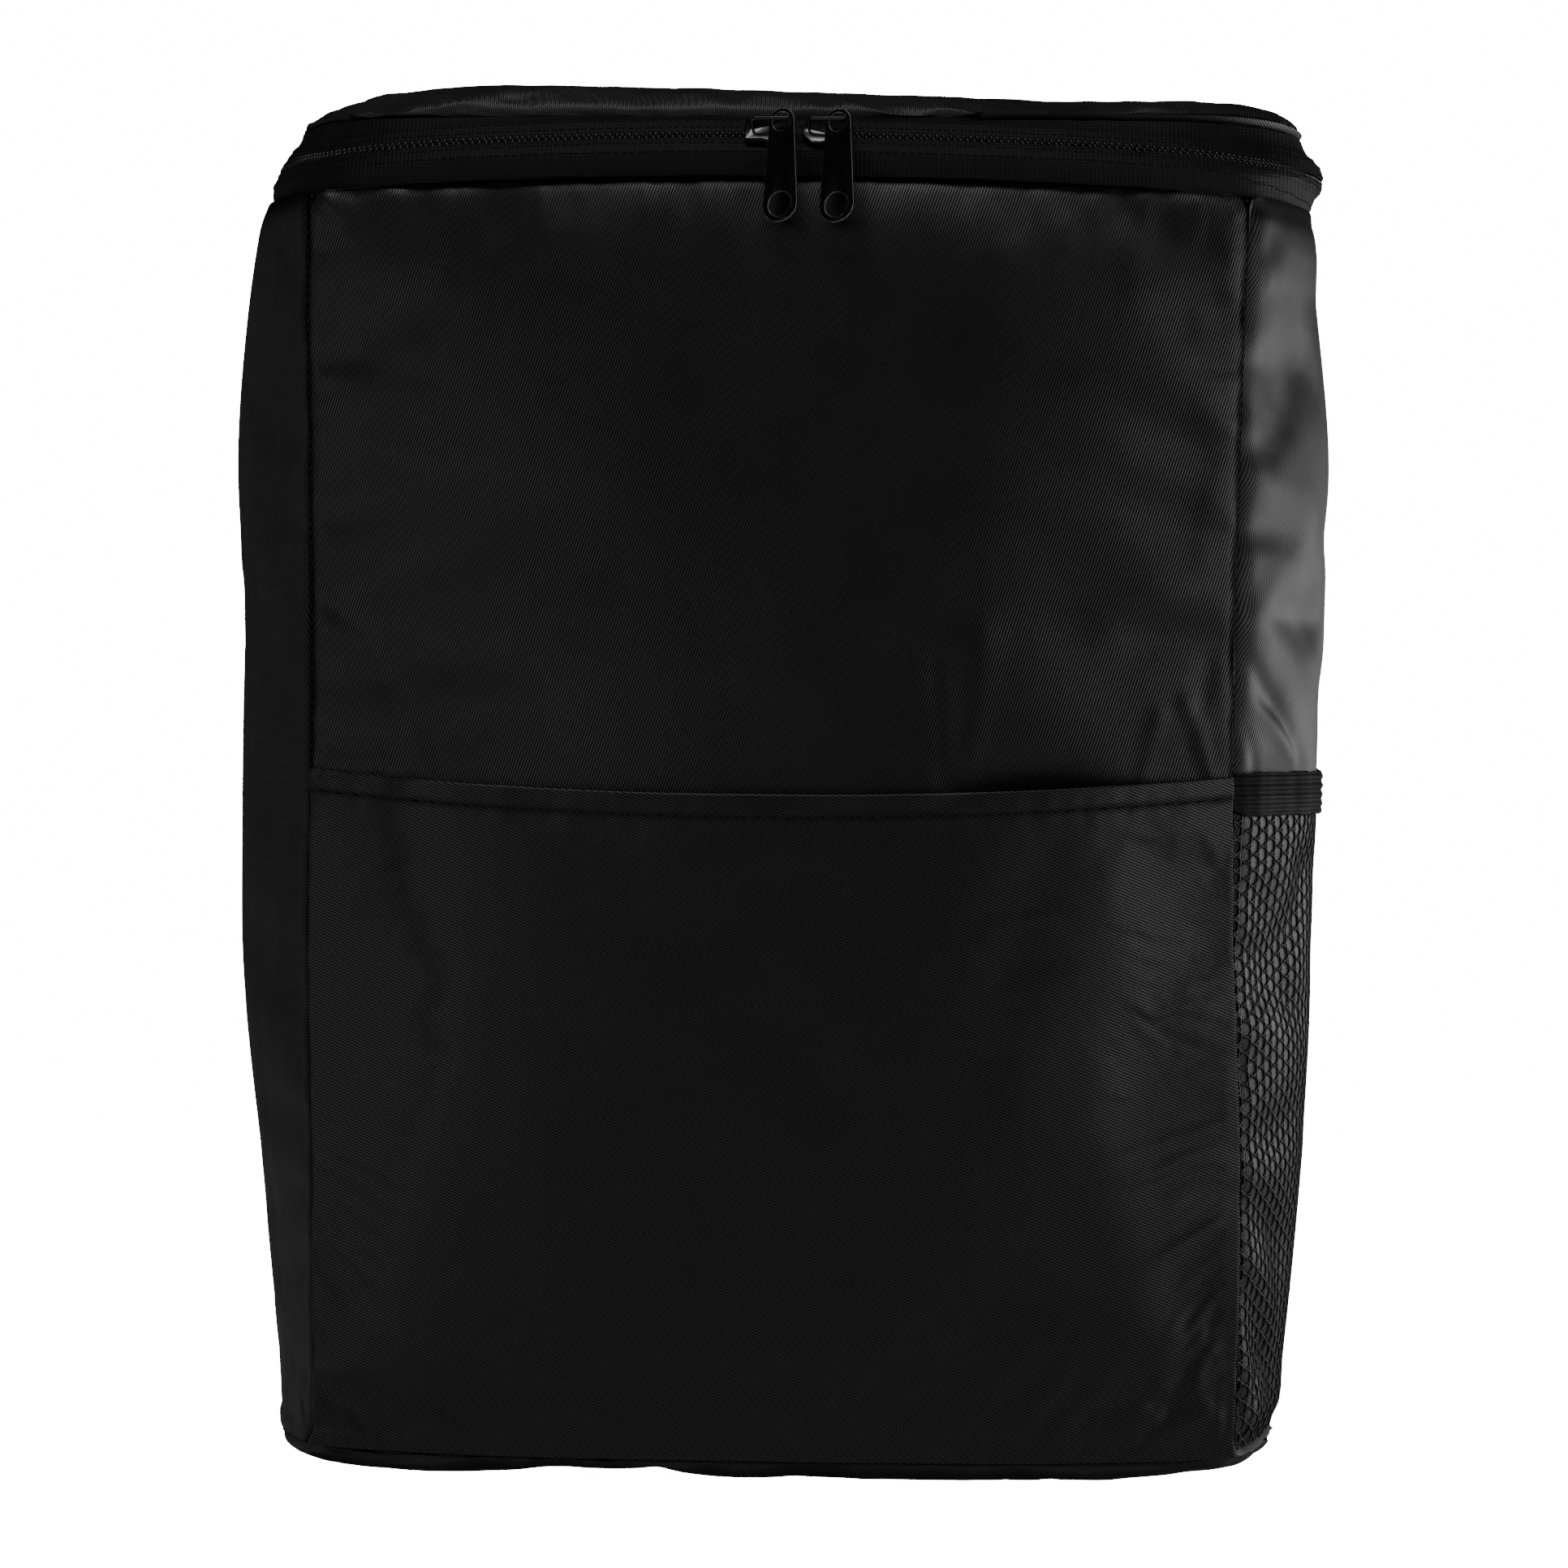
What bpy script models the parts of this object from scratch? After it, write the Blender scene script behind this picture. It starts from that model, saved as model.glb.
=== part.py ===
"""A cooler backpack standing on its base, in metres, +Z up, with its front towards -Y.

Padded walls meet at the seams, a zip band runs round the front and both sides under a
crowned lid, and two sliders meet near the middle of the front, each with a hanging pull.
The origin is on the floor under the middle of the base.
"""

import functools
import math
from collections import namedtuple

import bmesh
import bpy
from mathutils import Matrix, Vector

# Walls: seams stand at the half width and half depth, and the cloth bulges out between them
SEAM_HALF_WIDTH = 0.132
SEAM_HALF_DEPTH = 0.0825
LEFT_BULGE = 0.030
RIGHT_BULGE = 0.027
FRONT_BULGE = 0.016
BACK_BULGE = 0.004
WALL = 0.005
PIECE_GAP = 0.0003
CORNER_TRIM = 0.75 * PIECE_GAP
FOLD_DEPTH = 0.0026

# Heights above the floor, at the sides of the bag
BASE_SEAM = 0.008
PANEL_TOP = 0.3655
CHAIN_RISE = 0.0110
LID_SEAM_RISE = 0.0103
CHAIN_HEIGHT = PANEL_TOP + CHAIN_RISE
LID_SEAM = CHAIN_HEIGHT + LID_SEAM_RISE
LID_CROWN = 0.0132
FRONT_RISE = 0.0045
BASE_SEAM_DIP = 0.0023
BASE_LIFT = 0.0026

# Zip band
TAPE_THICKNESS = 0.0012
CHAIN_WIDTH = 0.0036
CHAIN_BACK = 0.0010
CHAIN_FRONT = 0.0012
TAPE_FLARE = 0.0016
CHAIN_SPAN = 0.1

# Front pocket
POCKET_HEIGHT = 0.1952
POCKET_DIP = 0.0062
POCKET_CLOTH = 0.0012
POCKET_HEM = 0.0068
HEM_FOLD = 0.0007
POCKET_GAPE = 0.0062

# Side pocket
NET_CLOTH = 0.0010
NET_BELOW_POCKET = 0.0037
NET_TOP = POCKET_HEIGHT - NET_BELOW_POCKET
NET_FOOT = 0.0105
NET_COLUMNS = 7
NET_ROWS = 9
NET_HOLE_SHARE = 0.72
ELASTIC_HEIGHT = 0.0110
ELASTIC_THICKNESS = 0.0014
ELASTIC_RIB = 0.0004
ELASTIC_RIBS = 4

# Zip sliders, lengths along X
SLIDER_LENGTH = 0.0144
SLIDER_WIDTH = 0.0104
SLIDER_TAIL_WIDTH = 0.0082
SLIDER_PLATE = 0.0016
SLIDER_LEFT_X = -0.0012
SLIDER_RIGHT_X = 0.0147
BRIDGE_WIRE = 0.00055
BRIDGE_HEIGHT = 0.0043
BRIDGE_TAIL_X = -0.0050
POST_WIDTH = 0.0014
POST_LENGTH = 0.0018

# Pull tabs
PULL_THICKNESS = 0.0008
PULL_DROP = 0.0310
PULL_EYE = 0.00285
PULL_EYE_DROP = 0.0012
PULL_TOP_RADIUS = 0.0039
PULL_END_RADIUS = 0.0053
PULL_HOLE = 0.0037
PULL_TURN = math.radians(24)
PULL_LEAN = math.radians(15)
PULL_X = 0.0034

# Shoulder straps
STRAP_WIDTH = 0.058
STRAP_THICKNESS = 0.008
STRAP_TOP_X = 0.056
STRAP_FOOT_X = 0.082
STRAP_DROP = 0.0155
STRAP_TOP = PANEL_TOP - STRAP_DROP
STRAP_FOOT = 0.135
STRAP_STAND_OUT = 0.032
WEBBING_WIDTH = 0.025
WEBBING_THICKNESS = 0.0016
WEBBING_FOOT_X = 0.100
WEBBING_FOOT = 0.030
ADJUSTER_WIDTH = 0.032
ADJUSTER_LENGTH = 0.026
ADJUSTER_THICKNESS = 0.0034
GRAB_HALF_SPAN = 0.030
GRAB_DROP = 0.0035
GRAB_HEIGHT = PANEL_TOP - GRAB_DROP
GRAB_WIDTH = 0.020
GRAB_STAND_OUT = 0.016

# Sections of the walls from the base seam (at 0) to the panels' top (at 1), as shares
Section = namedtuple("Section", "at seam depth left right net front back")
WALL_SECTIONS = (
    Section(0.00, 0.985, 0.970, 0.52, 0.42, 0.52, 0.30, 0.30),
    Section(0.05, 0.995, 0.985, 0.58, 0.46, 0.58, 0.45, 0.50),
    Section(0.14, 1.000, 0.995, 0.68, 0.56, 0.67, 0.62, 0.70),
    Section(0.30, 1.000, 1.000, 0.85, 0.72, 0.84, 0.86, 0.90),
    Section(0.48, 0.995, 1.000, 0.96, 0.87, 0.97, 1.00, 1.00),
    Section(0.55, 0.993, 1.000, 0.98, 0.96, 1.00, 1.00, 1.00),
    Section(0.68, 0.995, 1.000, 1.00, 1.00, 1.00, 0.97, 1.00),
    Section(0.84, 1.005, 0.990, 0.95, 0.90, 0.90, 0.85, 0.90),
    Section(0.94, 1.012, 0.980, 0.85, 0.76, 0.76, 0.66, 0.75),
    Section(1.00, 1.010, 0.968, 0.70, 0.68, 0.68, 0.50, 0.60),
)

# The zip band's profile above the panels: how far it lies inside their top edge, as a share of its lean
TAPE_LEAN_SIDE = 0.0062
TAPE_LEAN_FRONT = 0.0082
BandRow = namedtuple("BandRow", "at inside")
BAND_PROFILE = (
    BandRow(0.00, 0.00),
    BandRow(0.28, -0.02),
    BandRow(0.40, 0.08),
    BandRow(0.60, 0.36),
    BandRow(1.00, 1.00),
)

# The lid from its seam (first) to the crown (last): inset as a share of the half depth, height of the crown
LidRow = namedtuple("LidRow", "inset height")
LID_ROWS = (
    LidRow(0.000, 0.00),
    LidRow(-0.012, 0.28),
    LidRow(0.025, 0.58),
    LidRow(0.120, 0.86),
    LidRow(0.320, 0.98),
    LidRow(0.620, 1.00),
)

# The crown's height from left to right, which is fullest at the left
CrownRow = namedtuple("CrownRow", "across height")
CROWN_ROWS = (
    CrownRow(-1.10, 0.74),
    CrownRow(-0.90, 0.94),
    CrownRow(-0.68, 1.00),
    CrownRow(-0.36, 0.95),
    CrownRow(0.00, 0.84),
    CrownRow(0.38, 0.73),
    CrownRow(0.62, 0.66),
    CrownRow(1.00, 0.78),
    CrownRow(1.10, 0.62),
)

# The base from its seam to the floor: inset as a share of BASE_ROUND, height as a share of the seam's
BASE_ROUND = 0.012
BaseRow = namedtuple("BaseRow", "inset height")
BASE_ROWS = (
    BaseRow(0.00, 1.00),
    BaseRow(0.10, 0.62),
    BaseRow(0.38, 0.22),
    BaseRow(1.00, 0.00),
)

# Soft lobes under the base: places across it, and 1 where it is lifted off the floor
LobeRow = namedtuple("LobeRow", "across lifted")
LOBE_ROWS = (
    LobeRow(-1.000, 0.60),
    LobeRow(-0.875, 0.00),
    LobeRow(-0.625, 0.00),
    LobeRow(-0.500, 1.00),
    LobeRow(-0.250, 1.00),
    LobeRow(-0.125, 0.00),
    LobeRow(0.750, 0.00),
    LobeRow(0.875, 1.00),
    LobeRow(1.000, 1.00),
)

# Folds pressed into the cloth: place and reach in shares of the panel, turn in degrees, depth in FOLD_DEPTH
Fold = namedtuple("Fold", "across at long short turn depth")
FRONT_FOLDS = (
    Fold(-0.82, 0.70, 0.060, 0.012, 55, -0.8),
    Fold(-0.70, 0.60, 0.055, 0.013, 50, 0.9),
    Fold(0.78, 0.62, 0.050, 0.012, 118, -0.9),
    Fold(0.66, 0.57, 0.045, 0.012, 140, 0.7),
    Fold(0.05, 0.86, 0.060, 0.016, 8, -0.7),
    Fold(0.45, 0.93, 0.050, 0.012, -12, 0.6),
)
POCKET_FOLDS = (
    Fold(-0.85, 0.80, 0.050, 0.012, 78, -0.7),
    Fold(-0.30, 0.45, 0.080, 0.030, 95, -0.8),
    Fold(0.55, 0.75, 0.060, 0.022, 70, 0.7),
    Fold(0.80, 0.40, 0.080, 0.020, 85, -0.6),
)
GUSSET_FOLDS = (
    Fold(-0.40, 0.88, 0.040, 0.012, 35, -0.9),
    Fold(0.10, 0.80, 0.045, 0.012, -30, 0.8),
    Fold(-0.35, 0.66, 0.040, 0.012, -40, -0.8),
    Fold(0.00, 0.57, 0.030, 0.010, 60, -0.9),
    Fold(-0.30, 0.35, 0.050, 0.014, 20, 0.5),
)

# The padded strap's run from its top (0) to its foot (1): how far out it stands, share of STRAP_STAND_OUT
StrapRow = namedtuple("StrapRow", "at out sideways width")
STRAP_ROWS = (
    StrapRow(0.00, 0.00, 0.00, 0.80),
    StrapRow(0.10, 0.45, 0.02, 0.96),
    StrapRow(0.25, 0.80, 0.10, 1.00),
    StrapRow(0.50, 1.00, 0.38, 1.00),
    StrapRow(0.75, 0.86, 0.72, 0.94),
    StrapRow(0.92, 0.62, 0.94, 0.74),
    StrapRow(1.00, 0.50, 1.00, 0.56),
)

Finish = namedtuple("Finish", "colour roughness metallic")
FINISHES = {
    "shell_cloth": Finish((0.018, 0.018, 0.019), 0.62, 0.0),
    "pocket_cloth": Finish((0.018, 0.018, 0.019), 0.58, 0.0),
    "zip_tape": Finish((0.012, 0.012, 0.013), 0.80, 0.0),
    "zip_coil": Finish((0.015, 0.015, 0.016), 0.45, 0.0),
    "zip_metal": Finish((0.010, 0.010, 0.011), 0.22, 0.9),
    "net": Finish((0.012, 0.012, 0.012), 0.70, 0.0),
    "elastic": Finish((0.014, 0.014, 0.015), 0.75, 0.0),
    "strap_cloth": Finish((0.016, 0.016, 0.017), 0.75, 0.0),
    "webbing": Finish((0.014, 0.014, 0.014), 0.65, 0.0),
    "adjuster_plastic": Finish((0.012, 0.012, 0.012), 0.40, 0.0),
}


def clear_scene():
    for item in list(bpy.data.objects):
        bpy.data.objects.remove(item, do_unlink=True)


def new_collection(name, hidden=False):
    collection = bpy.data.collections.new(name)
    bpy.context.scene.collection.children.link(collection)
    collection.hide_render = hidden
    return collection


def new_material(name):
    finish = FINISHES[name]
    material = bpy.data.materials.new(name)
    material.use_nodes = True
    shader = material.node_tree.nodes["Principled BSDF"]
    shader.inputs["Base Color"].default_value = (*finish.colour, 1.0)
    shader.inputs["Roughness"].default_value = finish.roughness
    shader.inputs["Metallic"].default_value = finish.metallic
    return material


def add_piece(name, mesh, slot, collection):
    """An object for this mesh, shaded smooth, with a material of its own."""
    mesh.materials.clear()
    mesh.materials.append(new_material(slot))
    mesh.shade_smooth()
    mesh.set_sharp_from_angle(angle=math.radians(40))
    piece = bpy.data.objects.new(name, mesh)
    collection.objects.link(piece)
    return piece


def mesh_from_faces(name, points, faces):
    """A closed mesh with its faces turned outwards."""
    mesh = bpy.data.meshes.new(name)
    mesh.from_pydata(points, [], faces)
    shape = bmesh.new()
    shape.from_mesh(mesh)
    bmesh.ops.recalc_face_normals(shape, faces=shape.faces)
    shape.to_mesh(mesh)
    shape.free()
    return mesh


def read_table(rows, column, place, key="at"):
    """A smooth value of this column at a place between the table's rows."""
    places = [getattr(row, key) for row in rows]
    values = [getattr(row, column) for row in rows]
    place = min(max(place, places[0]), places[-1])
    last = len(rows) - 1
    lower = max(i for i in range(last) if places[i] <= place or i == 0)
    upper = lower + 1
    width = places[upper] - places[lower]
    share = (place - places[lower]) / width

    def slope(i):
        before, after = max(i - 1, 0), min(i + 1, last)
        return (values[after] - values[before]) / (places[after] - places[before])

    near = (1 + 2 * share) * (1 - share) ** 2 * values[lower]
    far = share**2 * (3 - 2 * share) * values[upper]
    bend_near = share * (1 - share) ** 2 * width * slope(lower)
    bend_far = share**2 * (share - 1) * width * slope(upper)
    return near + far + bend_near + bend_far


def read_straight(rows, column, place, key):
    """A value of this column on the straight lines between the table's rows."""
    value = getattr(rows[0], column)
    for before, after in zip(rows, rows[1:]):
        start, end = getattr(before, key), getattr(after, key)
        if place >= start:
            share = min((place - start) / (end - start), 1.0)
            value = getattr(before, column) * (1 - share) + getattr(after, column) * share
    return value


def dome(across, power=2.0):
    """1 in the middle of a span and 0 at its two seams, for across from -1 to 1."""
    return 1.0 - abs(across) ** power


def fold_depth(folds, across, at, width, height):
    """How far the cloth is pressed out (above 0) or in at this place of a panel."""
    total = 0.0
    for fold in folds:
        turn = math.radians(fold.turn)
        right = (across - fold.across) * width / 2
        up = (at - fold.at) * height
        along = right * math.cos(turn) + up * math.sin(turn)
        beside = up * math.cos(turn) - right * math.sin(turn)
        total += fold.depth * math.exp(-((along / fold.long) ** 2) - (beside / fold.short) ** 2)
    return total * FOLD_DEPTH * dome(across, 6)


Body = namedtuple("Body", "half_width half_depth left right net front back")


def body_at(at):
    """The body's sizes at this share of the walls' height."""
    return Body(
        SEAM_HALF_WIDTH * read_table(WALL_SECTIONS, "seam", at),
        SEAM_HALF_DEPTH * read_table(WALL_SECTIONS, "depth", at),
        LEFT_BULGE * read_table(WALL_SECTIONS, "left", at),
        RIGHT_BULGE * read_table(WALL_SECTIONS, "right", at),
        RIGHT_BULGE * read_table(WALL_SECTIONS, "net", at),
        FRONT_BULGE * read_table(WALL_SECTIONS, "front", at),
        BACK_BULGE * read_table(WALL_SECTIONS, "back", at),
    )


def wall_share(height):
    """The share of the walls' height that lies this far above the floor."""
    return (height - BASE_SEAM) / (PANEL_TOP - BASE_SEAM)


def wall_height(at):
    return BASE_SEAM + at * (PANEL_TOP - BASE_SEAM)


# The back wall's top, as a share of the panels' height
BACK_TOP = wall_share(LID_SEAM - PIECE_GAP)


def front_height(across, at):
    """Height on the front: its top edge is crowned and its bottom edge dips."""
    rise = FRONT_RISE * dome(across) * at**6
    dip = BASE_SEAM_DIP * dome(across, 4) * (1 - at) ** 6
    return wall_height(at) + rise - dip


def front_y(across, at, folds=FRONT_FOLDS):
    body = body_at(at)
    pressed = fold_depth(folds, across, at, 2 * SEAM_HALF_WIDTH, PANEL_TOP)
    return -(body.half_depth + body.front * dome(across, 2.3) + pressed)


def front_surface(inset):
    """The front wall's outer face, or its inner face at this inset."""

    def point(across, at):
        reach = body_at(at).half_width - inset - CORNER_TRIM
        return Vector((across * reach, front_y(across, at) + inset, front_height(across, at)))

    return point


def side_surface(side, inset):
    """A gusset's face, for side -1 at the left and 1 at the right; along runs from front to back."""

    def point(along, at):
        body = body_at(at)
        bulge = body.left if side < 0 else body.right
        pressed = fold_depth(GUSSET_FOLDS, along, at, 2 * SEAM_HALF_DEPTH, PANEL_TOP)
        reach = body.half_depth - inset - CORNER_TRIM
        out = body.half_width + bulge * dome(along) + pressed - inset
        return Vector((side * out, along * reach, wall_height(at)))

    return point


def back_surface(inset):
    """The back wall, which runs on past the panels' top to the lid's seam."""

    def point(across, at):
        body = body_at(min(at, 1.0))
        above = max(at - 1.0, 0.0) / (BACK_TOP - 1.0)
        reach = body.half_width - inset - CORNER_TRIM
        out = body.half_depth + body.back * dome(across) - inset - above * TAPE_LEAN_SIDE
        return Vector((across * reach, out, wall_height(at)))

    return point


def spread(count, low=-1.0, high=1.0):
    return [low + (high - low) * i / count for i in range(count + 1)]


def panel_mesh(name, outer, inner, columns, up):
    """A wall between two faces, each a function of a place across and of the places in up."""
    across, rows = spread(columns), len(up) - 1
    points = [face(u, v) for face in (outer, inner) for v in up for u in across]
    wide, layer = columns + 1, (columns + 1) * (rows + 1)
    faces = []
    for r in range(rows):
        for c in range(columns):
            a = r * wide + c
            quad = (a, a + 1, a + 1 + wide, a + wide)
            faces.append(quad)
            faces.append(tuple(i + layer for i in reversed(quad)))
    rim = [c for c in range(columns)]
    rim += [r * wide + columns for r in range(rows)]
    rim += [rows * wide + c for c in range(columns, 0, -1)]
    rim += [r * wide for r in range(rows, 0, -1)]
    for a, b in zip(rim, rim[1:] + rim[:1]):
        faces.append((b, a, a + layer, b + layer))
    return mesh_from_faces(name, points, faces)


def swept_mesh(name, loops):
    """A solid through these loops, each of as many points, closed at its first and last loop."""
    size = len(loops[0])
    points = [point for loop in loops for point in loop]
    faces = []
    for k in range(len(loops) - 1):
        for i in range(size):
            j = (i + 1) % size
            faces.append((k * size + i, k * size + j, (k + 1) * size + j, (k + 1) * size + i))
    faces.append(tuple(reversed(range(size))))
    faces.append(tuple(range((len(loops) - 1) * size, len(loops) * size)))
    return mesh_from_faces(name, points, faces)


FRONT_COLUMNS = 16
WALL_LEVELS = 15
POCKET_LEVELS = 12
BAND_FRONT = 24
RING_FRONT = 18
RING_SIDE = 8


def ring_places(front_count):
    """(span, place) pairs round the bag: front left to right, right side, back, left side."""
    front = spread(front_count)
    side = spread(RING_SIDE)
    places = [("front", u) for u in front[:-1]]
    places += [("right", v) for v in side[:-1]]
    places += [("back", u) for u in reversed(front[1:])]
    places += [("left", v) for v in reversed(side[1:])]
    return places


def outline_point(body, span, place, inset):
    """A point in plan on the body's outline, drawn in by this inset."""
    reach_x, reach_y = body.half_width - inset, body.half_depth - inset
    if span == "front":
        return Vector((place * reach_x, -(reach_y + body.front * dome(place, 2.3))))
    if span == "back":
        return Vector((place * reach_x, reach_y + body.back * dome(place)))
    bulge = body.left if span == "left" else body.right
    side = -1 if span == "left" else 1
    return Vector((side * (reach_x + bulge * dome(place)), place * reach_y))


def softened(points, passes, closed=True):
    """The outline with its corners eased: each pass moves a point to its neighbours' mean by a half."""
    for _ in range(passes):
        last = len(points) - 1
        eased = []
        for i, point in enumerate(points):
            if not closed and i in (0, last):
                eased.append(point)
                continue
            middle = (points[i - 1] + points[(i + 1) % len(points)]) / 2
            eased.append((point + middle) / 2)
        points = eased
    return points


def ringed_mesh(name, outer, inner, front_count):
    """A dished shell: rings from the rim inwards on its two faces, bridged across the last of each."""
    size = len(outer[0])
    points, faces = [], []

    def add_rings(rings, flip):
        first = len(points)
        for ring in rings:
            points.extend(ring)
        for k in range(len(rings) - 1):
            for i in range(size):
                j = (i + 1) % size
                base, upper = first + k * size, first + (k + 1) * size
                faces.append((base + i, base + j, upper + j, upper + i)[::flip])
        last = first + (len(rings) - 1) * size
        side_count = size // 2 - front_count
        back = last + front_count + side_count
        for i in range(front_count):
            a, b = back + front_count - i - 1, back + front_count - i
            faces.append((last + i, last + i + 1, a, b)[::flip])
        right = [last + front_count + i for i in range(side_count + 1)]
        left = [back + front_count + i for i in range(side_count)] + [last]
        faces.append(tuple(right)[::flip])
        faces.append(tuple(left)[::flip])
        return first

    outer_first = add_rings(outer, 1)
    inner_first = add_rings(inner, -1)
    for i in range(size):
        j = (i + 1) % size
        faces.append((outer_first + j, outer_first + i, inner_first + i, inner_first + j))
    return mesh_from_faces(name, points, faces)


def seam_height(span, place):
    """The base seam's height: it dips along the front."""
    return BASE_SEAM - (BASE_SEAM_DIP * dome(place, 4) if span == "front" else 0.0)


def make_walls(collection):
    """The four walls share their levels, so that they keep their gap all along each seam."""
    levels = spread(WALL_LEVELS, 0.0, 1.0)
    walls = (
        ("front_panel", front_surface, FRONT_COLUMNS, levels),
        ("gusset_left", functools.partial(side_surface, -1), 8, levels),
        ("gusset_right", functools.partial(side_surface, 1), 8, levels),
        ("back_panel", back_surface, 8, levels + [BACK_TOP]),
    )
    for name, surface, columns, up in walls:
        mesh = panel_mesh(name, surface(0.0), surface(WALL), columns, up)
        add_piece(name, mesh, "shell_cloth", collection)


def make_base(collection):
    body = body_at(0.0)
    places = ring_places(FRONT_COLUMNS)

    def ring(inset, height_share, floor):
        flat = [outline_point(body, span, place, inset) for span, place in places]
        points = []
        for (span, place), spot in zip(places, softened(flat, 1)):
            seam = seam_height(span, place) - PIECE_GAP
            lifted = read_straight(LOBE_ROWS, "lifted", spot.x / body.half_width, "across")
            under = floor + (BASE_LIFT * lifted if floor == 0 else 0.0)
            points.append(Vector((spot.x, spot.y, under + (seam - under) * height_share)))
        return points

    outer = [ring(row.inset * BASE_ROUND, row.height, 0.0) for row in BASE_ROWS]
    inner = [ring(WALL, 1.0, WALL + BASE_LIFT), ring(WALL + BASE_ROUND / 2, 0.0, WALL + BASE_LIFT)]
    mesh = ringed_mesh("base_panel", outer, inner, FRONT_COLUMNS)
    add_piece("base_panel", mesh, "shell_cloth", collection)


def band_offset(span, share):
    """How far inside the panels' top edge the band lies at this share of its height."""
    lean = TAPE_LEAN_FRONT if span == "front" else TAPE_LEAN_SIDE
    inside = lean * read_table(BAND_PROFILE, "inside", share)
    return inside - TAPE_FLARE * (1 - share) ** 2


def band_places():
    """(span, place) pairs along the band, from the left back corner round the front to the right one."""
    side = spread(RING_SIDE)
    places = [("left", v) for v in reversed(side[1:])]
    places += [("front", u) for u in spread(BAND_FRONT)[:-1]]
    places += [("right", v) for v in side]
    return places


def band_height(span, place, share):
    """Heights from the band's foot (0) by way of the zip chain (0.5) to the lid's seam (1)."""
    rise = FRONT_RISE * dome(place) if span == "front" else 0.0
    foot = PANEL_TOP + PIECE_GAP + rise
    chain = CHAIN_HEIGHT + rise
    top = LID_SEAM - PIECE_GAP
    if share < 0.5:
        return foot + (chain - foot) * share / 0.5
    return chain + (top - chain) * (share - 0.5) / 0.5


def band_line(share, out=0.0):
    """The line of points along the band at this share of its height, moved out by this much."""
    body = body_at(1.0)
    places = band_places()
    flat = []
    for span, place in places:
        corner = dome(place, 8)
        front_offset = band_offset("front", share)
        side_offset = band_offset("left", share)
        spot = outline_point(body, span, place, 0.0)
        own = front_offset if span == "front" else side_offset
        middle = (front_offset + side_offset) / 2
        offset = own * corner + middle * (1 - corner) - out
        if span == "front":
            spot = Vector((spot.x * (1 - side_offset / body.half_width), spot.y + offset))
        else:
            side = -1 if span == "left" else 1
            ahead = body.half_depth - front_offset
            behind = body.half_depth - WALL - 2 * PIECE_GAP - share * TAPE_LEAN_SIDE
            spot = Vector((spot.x - side * offset, place * (ahead if place < 0 else behind)))
        flat.append(spot)
    flat = softened(flat, 6, closed=False)
    return [
        Vector((spot.x, spot.y, band_height(span, place, share)))
        for (span, place), spot in zip(places, flat)
    ]


def middle_lines():
    """The zip chain's middle line and, for each of its points, the way up the tape there."""
    low, line, high = (band_line(0.5 + step) for step in (-CHAIN_SPAN, 0.0, CHAIN_SPAN))
    return line, [(b - a).normalized() for a, b in zip(low, high)]


def chain_edge(distance):
    """A line that runs beside the chain's middle, this far up the tape."""
    line, upward = middle_lines()
    return [spot + way * distance for spot, way in zip(line, upward)]


def along_at(line, i):
    """The level direction of a line at its point i."""
    before, after = line[max(i - 1, 0)], line[min(i + 1, len(line) - 1)]
    return Vector((after.x - before.x, after.y - before.y, 0.0)).normalized()


def strip_loops(lines, back, front):
    """Loops for a strip through these lines, from this far behind its middle to this far in front."""
    loops = []
    last = len(lines) - 1
    for i in range(len(lines[0])):
        along = along_at(lines[0], i)
        faces = ([], [])
        for k, line in enumerate(lines):
            upward = lines[min(k + 1, last)][i] - lines[max(k - 1, 0)][i]
            normal = along.cross(upward).normalized()
            faces[0].append(line[i] + normal * front)
            faces[1].append(line[i] - normal * back)
        loops.append(faces[0] + faces[1][::-1])
    return loops


def make_band(collection):
    """Each tape is flat beside the chain as far as a slider reaches, and then bends to its seam."""
    edge = CHAIN_WIDTH / 2 + PIECE_GAP
    flat = SLIDER_WIDTH / 2 + PIECE_GAP
    half = TAPE_THICKNESS / 2
    top = 1.0 - TAPE_THICKNESS / 4 / (LID_SEAM - CHAIN_HEIGHT)
    strips = {
        "zip_tape_lower": (band_line(0.0), chain_edge(-flat - half), chain_edge(-flat), chain_edge(-edge)),
        "zip_tape_upper": (chain_edge(edge), chain_edge(flat), chain_edge(flat + half), band_line(top)),
    }
    for name, lines in strips.items():
        add_piece(name, swept_mesh(name, strip_loops(lines, half, half)), "zip_tape", collection)


def chain_frame(x):
    """The chain's place and turn where it crosses this X on the front, facing out along its own -Y."""
    line, upward = middle_lines()
    i = next(i for i in range(len(line) - 1) if line[i].x <= x <= line[i + 1].x)
    share = (x - line[i].x) / (line[i + 1].x - line[i].x)
    way = upward[i].lerp(upward[i + 1], share)
    spot = line[i].lerp(line[i + 1], share)
    return Matrix.Translation(spot) @ Matrix.Rotation(-math.atan2(way.y, way.z), 4, "X")


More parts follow.
